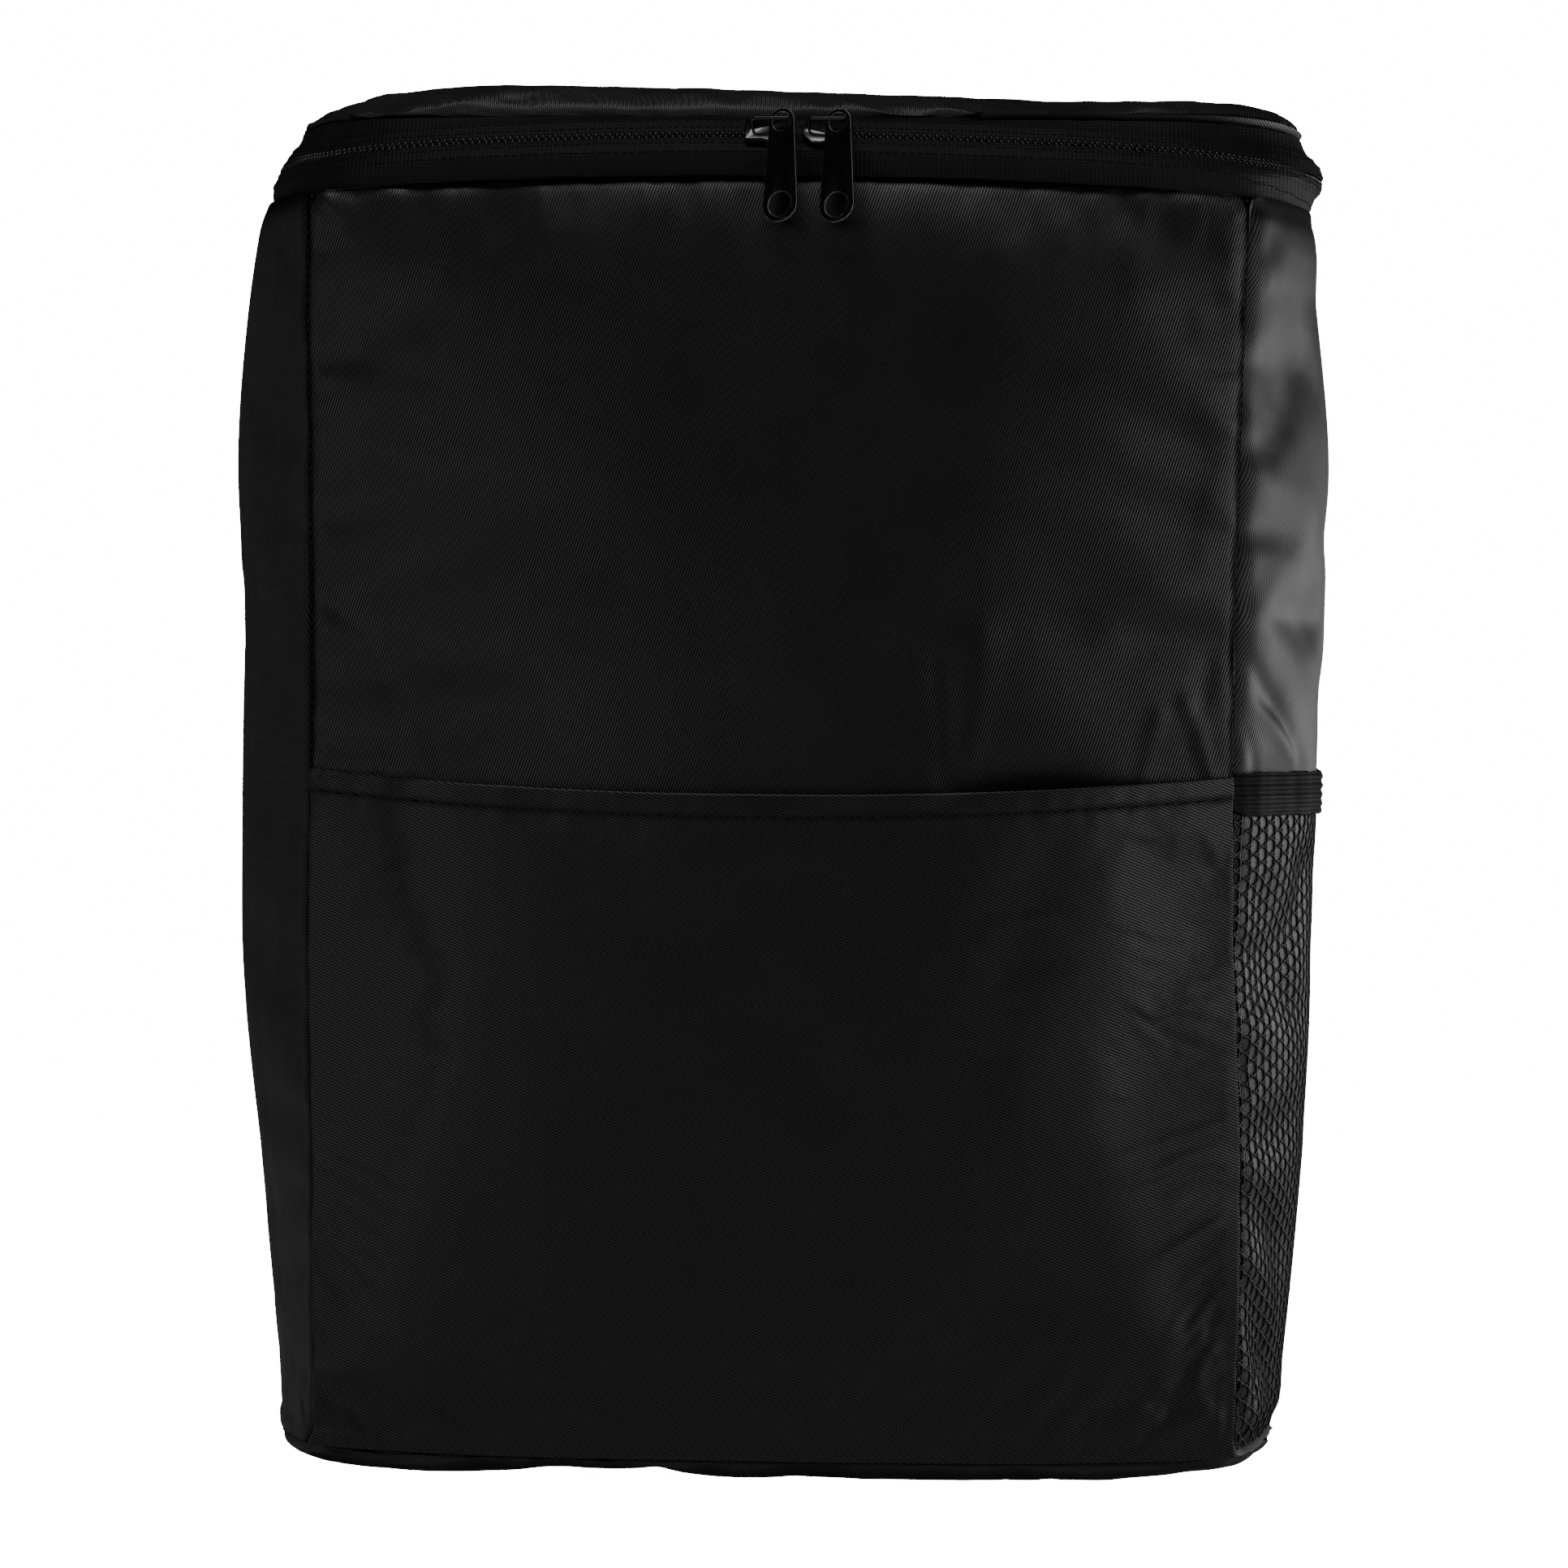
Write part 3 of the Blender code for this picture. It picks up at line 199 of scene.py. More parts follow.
# %% Light and floor
def add_softbox(name, place, aim, width, height, power):
    bpy.ops.object.light_add(type="AREA", location=place)
    lamp = bpy.context.object
    lamp.name = name
    lamp.data.shape = "RECTANGLE"
    lamp.data.size = width
    lamp.data.size_y = height
    lamp.data.energy = power
    lamp.rotation_euler = (Vector(place) - Vector(aim)).to_track_quat("Z", "Y").to_euler()
    return lamp


Softbox = namedtuple("Softbox", "name place width height power")
SOFTBOXES = (
    Softbox("softbox_right_rear", (1.25, 0.95, 0.22), 0.8, 0.3, 3.2),
    Softbox("softbox_right_side", (1.60, -0.15, 0.22), 0.4, 0.4, 2.4),
    Softbox("softbox_right_low", (0.62, 0.36, 0.16), 0.20, 0.16, 0.40),
    Softbox("softbox_left_rear", (-1.25, 0.95, 0.40), 0.4, 0.6, 0.25),
    Softbox("softbox_left_side", (-1.60, -0.20, 0.35), 0.3, 0.4, 0.8),
    Softbox("softbox_left_front", (-1.00, -1.45, 0.40), 0.45, 0.8, 2.4),
    Softbox("softbox_right_front", (1.38, -1.02, 0.35), 0.40, 0.9, 6.0),
    Softbox("softbox_over", (-0.1, -0.75, 1.60), 1.0, 0.5, 9),
)
for box in SOFTBOXES:
    add_softbox(box.name, box.place, (0, 0, 0.2), box.width, box.height, box.power)

LIT_WORLD = 0.006
SEEN_WHITE = 16.0


def brighten_for_camera(tree, low, high, socket):
    """Feeds the socket this low value, or the high one where the camera looks straight at it."""
    strength = tree.nodes.new("ShaderNodeMapRange")
    strength.inputs["To Min"].default_value = low
    strength.inputs["To Max"].default_value = high
    is_camera = tree.nodes.new("ShaderNodeLightPath").outputs["Is Camera Ray"]
    tree.links.new(is_camera, strength.inputs["Value"])
    tree.links.new(strength.outputs["Result"], socket)


world = bpy.data.worlds.new("studio")
bpy.context.scene.world = world
world.use_nodes = True
sky_shader = world.node_tree.nodes["Background"]
sky_shader.inputs["Color"].default_value = (1, 1, 1, 1)
brighten_for_camera(world.node_tree, LIT_WORLD, SEEN_WHITE, sky_shader.inputs["Strength"])

bpy.ops.mesh.primitive_plane_add(size=7, location=(0, 0, 0))
floor = bpy.context.object
floor.name = "studio_floor"
floor_paint = bpy.data.materials.new("floor_paint")
floor_paint.use_nodes = True
floor_shader = floor_paint.node_tree.nodes["Principled BSDF"]
floor_shader.inputs["Base Color"].default_value = (0.8, 0.8, 0.8, 1)
floor_shader.inputs["Roughness"].default_value = 0.9
floor_shader.inputs["Emission Color"].default_value = (1, 1, 1, 1)
brighten_for_camera(floor_paint.node_tree, 0.0, SEEN_WHITE, floor_shader.inputs["Emission Strength"])
floor.data.materials.append(floor_paint)
print("lights and floor are in")

# %% [markdown]
# The cloth is black polyester twill. Its ribs are slanted lines 0.8 mm apart, and each rib is
# a row of short floats. A picture of cloth could be laid over it, but two crossed Wave textures
# give both and stay sharp from near by. The weave's raised parts get the lighter tint, a painted
# highlight on the threads. A slow noise varies the sheen, as worn and brushed cloth does. The
# pattern is read in the piece's own metres. Where an attribute marks painted shade, at seams,
# under the zip's band and in the pocket's hem groove, the tint and the gloss are lowered.

# %% Cloth materials
PLANES = {"XZ": ("X", "Z", 1), "YZ": ("Y", "Z", 0), "XY": ("X", "Y", 2)}
WAVE_METRE = 2 * math.pi / 20


class Finish:
    """A Principled material with short calls for its nodes."""

    def __init__(self, name, colour, roughness, specular=0.5, coat=0.0):
        self.material = bpy.data.materials.new(name)
        self.material.use_nodes = True
        self.tree = self.material.node_tree
        self.shader = self.tree.nodes["Principled BSDF"]
        for socket, value in (
            ("Base Color", (*colour, 1)), ("Roughness", roughness),
            ("Specular IOR Level", specular), ("Coat Weight", coat),
        ):
            self.shader.inputs[socket].default_value = value

    def node(self, kind, settings=None, **inputs):
        made = self.tree.nodes.new("ShaderNode" + kind)
        for name, value in (settings or {}).items():
            setattr(made, name, value)
        for name, value in inputs.items():
            self.feed(made, name.replace("_", " "), value)
        return made

    def feed(self, made, socket, value):
        numbered = socket[0] == "i" and socket[1:].isdigit()
        target = made.inputs[int(socket[1:]) if numbered else socket]
        if isinstance(value, bpy.types.NodeSocket):
            self.tree.links.new(value, target)
        else:
            target.default_value = value

    def math(self, operation, first, second):
        return self.node("Math", {"operation": operation}, i0=first, i1=second).outputs[0]

    def place(self, turn=(0, 0, 0)):
        spot = self.node("TexCoord").outputs["Object"]
        return self.node("Mapping", Vector=spot, Rotation=turn).outputs[0]

    def wave(self, vector, direction, pitch, distortion=0.0, detail_scale=1.0):
        made = self.node(
            "TexWave", {"bands_direction": direction}, Vector=vector, Scale=WAVE_METRE / pitch,
            Distortion=distortion, Detail=1.0, Detail_Scale=detail_scale,
        )
        return made.outputs["Fac"]

    def noise(self, vector, scale, detail=3.0):
        return self.node("TexNoise", Vector=vector, Scale=scale, Detail=detail).outputs["Fac"]

    def ramp(self, value, low, high):
        """The value spread from low to high."""
        return self.node("MapRange", Value=value, To_Min=low, To_Max=high).outputs["Result"]

    def tint(self, value, dark, light):
        mix = self.node("Mix", {"data_type": "RGBA"}, i0=value)
        self.feed(mix, "i6", (*dark, 1))
        self.feed(mix, "i7", (*light, 1))
        self.tree.links.new(mix.outputs[2], self.shader.inputs["Base Color"])

    def rough(self, value, low, high):
        self.tree.links.new(self.ramp(value, low, high), self.shader.inputs["Roughness"])

    def bump(self, value, distance):
        made = self.node("Bump", Height=value, Distance=distance)
        self.tree.links.new(made.outputs[0], self.shader.inputs["Normal"])


def grey(value):
    return (value, value, value * 1.03)


TWILL_PITCH = 0.00077
TWILL_DEPTH = 0.00007


def twill(name, plane, lean, pitch=TWILL_PITCH, dark=0.0005, light=0.0090, gloss=(0.33, 0.46), slope=0.0):
    """Twill whose ribs lean by this angle from the plane's first axis. A sloping plane also suits the rim."""
    first, second, axis = PLANES[plane]
    finish = Finish(name, grey(dark), 0.42, specular=0.40)
    turn = [0.0, 0.0, 0.0]
    quarter = math.radians(lean - 90)
    turn[axis] = -quarter if plane != "XZ" else quarter
    turn[0] += math.radians(slope)
    spot = finish.place(tuple(turn))
    ribs = finish.wave(spot, first, pitch, 0.7, 2.0)
    floats = finish.wave(spot, second, pitch * 0.8, 1.2, 3.0)
    weave = finish.math("ADD", finish.math("MULTIPLY", ribs, 0.75), finish.math("MULTIPLY", floats, 0.25))
    plain = finish.place()
    wear = finish.noise(plain, 38.0, 4.0)
    # Painted shade: an attribute lowers the tint and the gloss at seams, under the band and in the hem.
    painted_seam_shade = finish.node("Attribute", {"attribute_name": "painted_seam_shade"}).outputs["Fac"]
    unshaded_share = finish.math("SUBTRACT", 1.0, painted_seam_shade)
    shown = finish.math("MULTIPLY", finish.math("MULTIPLY", weave, wear), unshaded_share)
    # The weave's raised parts are tinted lighter: a painted highlight on the threads.
    finish.tint(shown, grey(dark), grey(light))
    finish.rough(wear, *gloss)
    gleam = finish.math("MULTIPLY", finish.ramp(weave, 0.02, 0.88), unshaded_share)
    finish.feed(finish.shader, "Specular IOR Level", gleam)
    finish.bump(weave, TWILL_DEPTH)
    return finish.material


front_twill = twill("front_twill", "XZ", 72)
pocket_twill = twill("pocket_twill", "XZ", -22, gloss=(0.36, 0.50))
side_twill = twill("side_twill", "YZ", 72, gloss=(0.44, 0.60))
flat_twill = twill(
    "flat_twill", "XY", 72, pitch=0.00056, dark=0.002, light=0.045, gloss=(0.44, 0.58), slope=45,
)


def woven(name, plane, rib, yarn, dark=0.0012, light=0.005, depth=0.00006, specular=0.22):
    """A narrow weave: ribs across it and finer yarns along it."""
    first, second, _ = PLANES[plane]
    finish = Finish(name, grey(dark), 0.7, specular=specular)
    spot = finish.place()
    ribs = finish.wave(spot, first, rib, 0.4, 2.0)
    yarns = finish.wave(spot, second, yarn, 0.6, 2.0)
    weave = finish.math("ADD", finish.math("MULTIPLY", ribs, 0.6), finish.math("MULTIPLY", yarns, 0.4))
    wear = finish.noise(spot, 60.0, 4.0)
    finish.tint(finish.math("MULTIPLY", weave, wear), grey(dark), grey(light))
    finish.rough(wear, 0.55, 0.8)
    finish.bump(weave, depth)
    return finish.material


tape_weave = woven("tape_weave", "XZ", 0.0012, 0.0009, dark=0.0006, light=0.010, depth=0.00016)
elastic_knit = woven("elastic_knit", "YZ", 0.0011, 0.0008, light=0.003, specular=0.10)
strap_mesh_knit = woven("strap_mesh_knit", "XZ", 0.0021, 0.0018, depth=0.0005)
webbing_weave = woven("webbing_weave", "XZ", 0.0016, 0.0011, depth=0.0004)


def plain_finish(name, colour, roughness, spread=0.1, bumps=0.0, scale=300.0, rim_highlight=0.0, **more):
    """A moulded, spun or lacquered surface with small changes of gloss and height, and, where asked, edges
    tinted light as a painted highlight.
    """
    finish = Finish(name, grey(colour), roughness, **more)
    spot = finish.place()
    value = finish.noise(spot, scale, 3.0)
    # Painted highlight: the marked rounded edges are tinted up to this light grey.
    if rim_highlight:
        highlit_rim = finish.node("Attribute", {"attribute_name": "painted_rim_highlight"}).outputs["Fac"]
        small = finish.math("MULTIPLY", value, colour / rim_highlight)
        finish.tint(finish.math("MAXIMUM", small, highlit_rim), grey(colour * 0.6), grey(rim_highlight))
    else:
        finish.tint(value, grey(colour * 0.8), grey(colour * 1.3))
    finish.rough(value, roughness - spread, roughness + spread)
    if bumps:
        finish.bump(value, bumps)
    return finish.material


black_enamel = plain_finish("black_enamel", 0.003, 0.20, 0.06, 0.00001, 500.0, rim_highlight=0.35, coat=0.5)
coil_nylon = plain_finish("coil_nylon", 0.006, 0.28, 0.06, 0.00002, 900.0, specular=0.38)
net_yarn = plain_finish("net_yarn", 0.003, 0.55, 0.1, 0.00006, 2500.0, specular=0.3)
stitch_thread = plain_finish("stitch_thread", 0.0015, 0.60, 0.1, 0.00003, 3000.0, specular=0.16)
adjuster_plastic = plain_finish("adjuster_plastic", 0.005, 0.36, 0.08, 0.00002, 700.0)
print("materials:", len(bpy.data.materials))

# %% [markdown]
# The walls are foam with cloth over it, sewn to each other at their edges. Their bulges could
# be sculpted, but Cloth finds them by itself. Each wall starts as a copy of its solid. The seam
# and all that is hidden are held still, and the outer skin is cut a little too large and blown
# up, so that it buckles as sewn foam does.

# %% Skins and seams
def set_shares(piece, name, members):
    values = np.zeros(len(piece.data.vertices), np.float32)
    values[list(members)] = 1.0
    write_values(piece, name, "POINT", values)


def shares_of(piece, name):
    values = np.zeros(len(piece.data.vertices), np.float32)
    piece.data.attributes[name].data.foreach_get("value", values)
    return values


CORNER_TURN = math.radians(40)


def mark_skins(piece, facing, least):
    """Marks the outer skin's seam, and all that is held: the seam, the rim and the inside."""
    way = Vector(facing)
    outer, other = set(), set()
    for face in piece.data.polygons:
        (outer if face.normal.dot(way) > least else other).update(face.vertices)
    seam = outer & other
    set_shares(piece, "seam", seam)
    set_shares(piece, "held", set(range(len(piece.data.vertices))) - (outer - seam))
    sharp = [edge.vertices[0] in seam and edge.vertices[1] in seam for edge in piece.data.edges]
    write_values(piece, "crease_edge", "EDGE", [float(s) for s in sharp])
    set_shares(piece, "crease_vert", seam_corners(piece, sharp))


def seam_corners(piece, sharp):
    """The seam's vertices where it turns by more than CORNER_TURN: they keep their place."""
    ways = {}
    for edge, on_seam in zip(piece.data.edges, sharp):
        if on_seam:
            a, b = edge.vertices
            along = (piece.data.vertices[b].co - piece.data.vertices[a].co).normalized()
            ways.setdefault(a, []).append(along)
            ways.setdefault(b, []).append(-along)
    least = math.cos(CORNER_TURN)
    return [i for i, pair in ways.items() if len(pair) == 2 and pair[0].dot(-pair[1]) < least]


SIM_FRAMES = 20


def add_cloth(piece, pressure, growth):
    group = piece.vertex_groups.new(name="held")
    group.add([int(i) for i in np.nonzero(shares_of(piece, "held") > 0.99)[0]], 1.0, "REPLACE")
    modifier = piece.modifiers.new("cloth", "CLOTH")
    cloth = modifier.settings
    cloth.vertex_group_mass = "held"
    cloth.quality = 5
    cloth.mass = 0.25
    cloth.tension_stiffness = 18
    cloth.compression_stiffness = 18
    cloth.shear_stiffness = 6
    cloth.bending_stiffness = 0.8
    cloth.use_pressure = True
    cloth.uniform_pressure_force = pressure
    cloth.shrink_min = -growth
    cloth.effector_weights.gravity = 0
    modifier.collision_settings.use_collision = False
    modifier.point_cache.frame_end = SIM_FRAMES


def run_cloth(pieces, caps):
    """Runs every Cloth at once, applies it, and caps how far each point has moved."""
    before = [points_of(piece) for piece in pieces]
    for step in range(1, SIM_FRAMES + 1):
        bpy.context.scene.frame_set(step)
    for piece, start, cap in zip(pieces, before, caps):
        pick(piece)
        bpy.ops.object.modifier_apply(modifier="cloth")
        moved = points_of(piece) - start
        far = np.linalg.norm(moved, axis=1, keepdims=True) + 1e-9
        print(piece.name, "moved up to", round(float(far.max()) * 1000, 1), "mm")
        move_points(piece, start + moved / far * cap * np.tanh(far / cap))
    bpy.context.scene.frame_set(1)


# %% [markdown]
# Six walls make the bag. The table gives which way each one faces, how steep a face may turn
# away and still be outer skin, the pressure, how much too large the cloth is, and the cap.

# %% Padded walls
Wall = namedtuple("Wall", "node name facing least pressure growth cap cloth finer")
WALLS = (
    Wall("front_panel", "front_wall", (0, -1, 0), 0.3, 1.2, 0.012, 0.0022, front_twill, 2),
    Wall("gusset_left", "left_side", (-1, 0, 0), 0.3, 0.9, 0.014, 0.0016, side_twill, 2),
    Wall("gusset_right", "right_side", (1, 0, 0), 0.3, 1.4, 0.018, 0.0028, side_twill, 2),
    Wall("back_panel", "back_wall", (0, 1, 0), 0.3, 1.0, 0.010, 0.0015, front_twill, 1),
    Wall("base_panel", "base_pad", (0, 0, -1), -0.35, 0.6, 0.010, 0.0012, flat_twill, 1),
    Wall("lid_panel", "lid_pad", (0, 0, 1), -0.35, 0.6, 0.016, 0.0012, flat_twill, 1),
)

walls = {}
for wall in WALLS:
    piece = merged_copy(wall.node, wall.name)
    mark_skins(piece, wall.facing, wall.least)
    subdivide(piece, 2)
    add_cloth(piece, wall.pressure, wall.growth)
    walls[wall.name] = piece
run_cloth(list(walls.values()), [wall.cap for wall in WALLS])
for wall in WALLS:
    subdivide(walls[wall.name], wall.finer)
print("walls made:", len(walls))

# %% [markdown]
# The stuffed bag isn't quite even: in the photograph its right shoulder stands further out than
# its left one, the lid has sunk a little, and the foot's corners are full. Each piece could be
# pulled about by hand, but one smooth field for all of them keeps pieces that touch together.
# Places and heights are in metres, and shifts in millimetres.

# %% Outline
RIGHT_OUT = (
    (0.340, 0.352, 0.362, 0.371, 0.376, 0.381, 0.386, 0.405),
    (0, 1.5, 1.7, 6.3, 14.5, 13.5, 11.5, 11.5),
)
FOOT_OUT = ((0.0, 0.006, 0.013, 0.030), (11.0, 4.5, 1.0, 0.0))
LEAN = ((0.0, 0.020, 0.090, 0.150), (1.2, 2.2, 2.2, 0.0))
LEFT_IN = 1.4
LID_DROP = 2.0
LEFT_DROP = 1.6
RIGHT_RISE = 2.5
MM = 0.001
SHOULDER_FROM, SHOULDER_SPAN = 0.090, 0.065
FOOT_FROM, FOOT_SPAN = 0.070, 0.070
LEAN_SPAN = 0.130
PAST_EDGE = 1.1
LID_FROM, LID_SPAN = 0.385, 0.012
LEFT_FROM, LEFT_SPAN = 0.080, 0.055
FAR_FROM, FAR_SPAN = 0.100, 0.040
BAND_FROM, BAND_SPAN = 0.380, 0.005


def eased(share):
    share = np.clip(share, 0, 1)
    return share * share * (3 - 2 * share)


def shaped(places):
    """These places, moved by the outline's shifts."""
    x, _, z = places.T
    moved = places.copy()
    right = np.clip((x - SHOULDER_FROM) / SHOULDER_SPAN, 0, PAST_EDGE) ** 2
    foot = np.clip((np.abs(x) - FOOT_FROM) / FOOT_SPAN, 0, PAST_EDGE) ** 2
    moved[:, 0] += MM * right * np.interp(z, *RIGHT_OUT)
    moved[:, 0] += MM * foot * np.sign(x) * np.interp(z, *FOOT_OUT)
    moved[:, 0] += MM * np.clip(np.abs(x) / LEAN_SPAN, 0, 1) * np.interp(z, *LEAN)
    above = eased((z - LID_FROM) / LID_SPAN)
    left = eased((-x - LEFT_FROM) / LEFT_SPAN)
    far = eased((x - FAR_FROM) / FAR_SPAN)
    moved[:, 0] += MM * LEFT_IN * left * eased((z - BAND_FROM) / BAND_SPAN)
    moved[:, 2] -= MM * above * (LID_DROP + LEFT_DROP * left - RIGHT_RISE * far)
    return moved


for piece in walls.values():
    move_points(piece, shaped(points_of(piece)))
print("walls shifted:", len(walls))

# %% [markdown]
# A seam pulls the two cloths in, so the foam rolls over towards it, and thread tension draws
# short puckers that run away from the seam. A bevel would make every seam the same, so each
# point is moved by itself, less with its distance to the nearest point of the seam. The puckers
# follow a noise that is read at that nearest point. Close to a seam, and below the top where the
# zip's band hangs over the wall, painted shade darkens the cloth and lowers its gloss.

# %% Rolled edges and puckers
# The last column is how far the painted shade reaches from the seam.
Edge = namedtuple("Edge", "name roll reach pucker length pitch ridge dull")
# How dark the painted shade is, at a seam and under the zip's band.
SEAM_SHADE = 0.9
EDGES = (
    Edge("front_wall", 0.0005, 0.0020, 0.0008, 0.011, 0.0085, 0.0, 0.0011),
    Edge("left_side", 0.0003, 0.0012, 0.0009, 0.014, 0.0100, 0.0003, 0.0012),
    Edge("right_side", 0.0026, 0.0056, 0.0022, 0.018, 0.0260, 0.0, 0.0050),
    Edge("back_wall", 0.0010, 0.0040, 0.0006, 0.010, 0.0100, 0.0, 0.0010),
    Edge("base_pad", 0.0008, 0.0030, 0.0006, 0.010, 0.0120, 0.0, 0.0012),
    Edge("lid_pad", 0.0008, 0.0030, 0.0009, 0.014, 0.0090, 0.0, 0.0012),
)
BAND_HIDES = 0.004
# How far below a wall's top the painted shadow under the zip's band reaches.
BAND_SHADOW_REACH = {"front_wall": 0.0024, "left_side": 0.0060, "right_side": 0.0065}
RIDGE_AWAY = 0.0032
RIDGE_WIDTH = 0.0013
PUCKER_START = 0.0015


def seam_tree(piece):
    """The seam's points in a tree. A side wall's top seam is left out: it lies behind the zip's band."""
    spots = points_of(piece)[shares_of(piece, "seam") > 0.99]
    if piece in (walls["left_side"], walls["right_side"]):
        spots = spots[spots[:, 2] < spots[:, 2].max() - BAND_HIDES]
    return tree_of(spots)


def work_edge(edge):
    piece = walls[edge.name]
    tree = seam_tree(piece)
    places, ways = points_of(piece), normals_of(piece)
    skin = (shares_of(piece, "held") < 0.99) | (shares_of(piece, "seam") > 0.99)
    painted_shade = np.zeros(len(places), np.float32)
    top = places[:, 2].max()
    for i in np.nonzero(skin)[0]:
        spot, _, away = tree.find(Vector(places[i]))
        rolled = edge.roll * math.exp(-((away / edge.reach) ** 2))
        ripple = noise.noise(spot / edge.pitch) + 0.5 * noise.noise(spot / edge.pitch * 2.3)
        drawn = edge.pucker * ripple * math.exp(-away / edge.length) * (1 - math.exp(-away / PUCKER_START))
        raised = edge.ridge * math.exp(-(((away - RIDGE_AWAY) / RIDGE_WIDTH) ** 2)) * (1 + 0.5 * ripple)
        places[i] -= ways[i] * (rolled + drawn - raised)
        # Painted shade: near the seam the cloth is darkened, in a band that ripples with the puckers.
        shade_width = edge.dull * (1 + 0.5 * max(ripple, -0.8))
        painted_shade[i] = SEAM_SHADE * math.exp(-((away / shade_width) ** 2))
        # Painted shadow under the zip's band, darkest at the wall's top.
        if edge.name in BAND_SHADOW_REACH:
            below = (top - places[i][2]) / BAND_SHADOW_REACH[edge.name]
            painted_shade[i] = max(painted_shade[i], SEAM_SHADE * math.exp(-(below**2)))
    move_points(piece, places)
    write_values(piece, "painted_seam_shade", "POINT", painted_shade)


for edge in EDGES:
    work_edge(edge)
print("edges rolled:", len(EDGES))

# %% [markdown]
# Cloth that has been packed flat keeps folds. They could be sculpted with a brush, but as a
# list each one can be moved or deepened by itself: a soft crest or valley along a line, in the
# wall's own two directions and in millimetres, where the photograph shows it. Once its shape
# stands, a wall loses most of the faces that nothing shows.

# %% Folds
Fold = namedtuple("Fold", "x0 y0 x1 y1 width depth")
FOLDS = {
    "front_wall": ((0, 2), (
        Fold(-134, 254, -112, 236, 6, -0.9), Fold(-132, 242, -100, 232, 7, 0.7),
        Fold(-134, 262, -104, 262, 7, 0.6),
        Fold(-108, 226, -96, 198, 6, 0.8), Fold(-102, 216, -112, 196, 5, -0.8),
        Fold(-90, 232, -50, 250, 10, 0.5),
        Fold(118, 222, 126, 198, 4, 0.9), Fold(124, 232, 118, 210, 5, -0.7), Fold(110, 218, 104, 196, 4, 0.6),
        Fold(60, 240, 56, 200, 8, 0.6), Fold(48, 232, 50, 200, 6, -0.6), Fold(96, 244, 128, 262, 10, 0.7),
        Fold(-131, 300, -98, 288, 9, 0.6), Fold(-130, 318, -96, 312, 9, -0.5),
        Fold(-60, 352, 10, 332, 9, 0.35),
        Fold(20, 330, 70, 350, 8, 0.35), Fold(128, 300, 122, 262, 8, 0.6),
    )),
    "left_side": ((1, 2), (
        Fold(-60, 330, -30, 240, 12, 0.9), Fold(-76, 300, -50, 200, 9, -0.8),
        Fold(-70, 180, -40, 80, 10, 0.8),
        Fold(-50, 120, -20, 40, 10, -0.7),
    )),
    "right_side": ((1, 2), (
        Fold(-80, 236, -52, 214, 5, -1.0), Fold(-80, 226, -46, 206, 5, 0.9),
        Fold(-72, 292, -30, 236, 10, 0.6),
        Fold(-80, 320, -56, 268, 10, -0.6), Fold(-70, 344, -40, 300, 10, 0.5),
        Fold(-60, 222, -30, 194, 5, -0.6),
        Fold(-76, 214, -66, 196, 4, -0.8), Fold(-40, 280, 0, 230, 12, 0.5),
    )),
    "lid_pad": ((0, 1), (
        Fold(-118, -52, -96, -70, 4, 1.0), Fold(-104, -75, -86, -80, 3, -0.8),
        Fold(-122, -60, -108, -72, 3, -0.8), Fold(-92, -60, -78, -74, 3, -0.7),
        Fold(-128, -30, -108, -40, 5, 0.8), Fold(118, -66, 132, -40, 4, -1.0),
        Fold(104, -72, 124, -56, 4, 0.9),
        Fold(-60, -78, -20, -66, 6, 0.7), Fold(10, -80, 60, -70, 6, 0.6), Fold(60, -76, 100, -66, 5, -0.6),
    )),
}


FOLD_TAPER = 0.55
FOLD_START = 0.004


def press_folds(name):
    """Moves the skin along its normals by each fold's depth, less with the distance to its line."""
    (first, second), folds = FOLDS[name]
    piece = walls[name]
    places, ways = points_of(piece), normals_of(piece)
    skin = shares_of(piece, "held") < 0.99
    spots = places[:, (first, second)] * 1000
    lift = np.zeros(len(places))
    for fold in folds:
        start = np.array((fold.x0, fold.y0), float)
        along = np.array((fold.x1, fold.y1), float) - start
        share = np.clip((spots - start) @ along / (along @ along), 0, 1)
        away = np.linalg.norm(spots - start - share[:, None] * along, axis=1)
        taper = 1 - FOLD_TAPER * share
        lift += fold.depth * taper * np.exp(-((away / (fold.width * 0.5 * (0.5 + taper))) ** 2))
    tree = seam_tree(piece)
    for i in np.nonzero(skin & (np.abs(lift) > 0.01))[0]:
        _, _, away = tree.find(Vector(places[i]))
        places[i] += ways[i] * lift[i] * MM * (1 - math.exp(-away / FOLD_START))
    move_points(piece, places)


HIDDEN_KEPT = 0.2


def thin_out(piece, hidden):
    """Collapses most of these faces, which nothing shows, such as a wall's inner side."""
    edit_faces(piece, hidden)
    bpy.ops.mesh.decimate(ratio=HIDDEN_KEPT)
    bpy.ops.object.mode_set(mode="OBJECT")


for name in FOLDS:
    press_folds(name)
for wall in WALLS:
    piece = walls[wall.name]
    held = shares_of(piece, "held") > 0.99
    thin_out(piece, [held[list(face.vertices)].all() for face in piece.data.polygons])
    shade(piece, 50)
    settle(piece, wall.cloth, BAG, [wall.node])

# %% [markdown]
# The front pocket is one layer of twill, sewn at its sides and foot and open at its mouth. A
# flat plate would do for its shape, but not for its slack. So only the outer skin of its solid
# is kept as a sheet, cut a little large, and Cloth lets it slack. Then it gets its thickness,
# and a hem, where the cloth is folded double at the mouth.

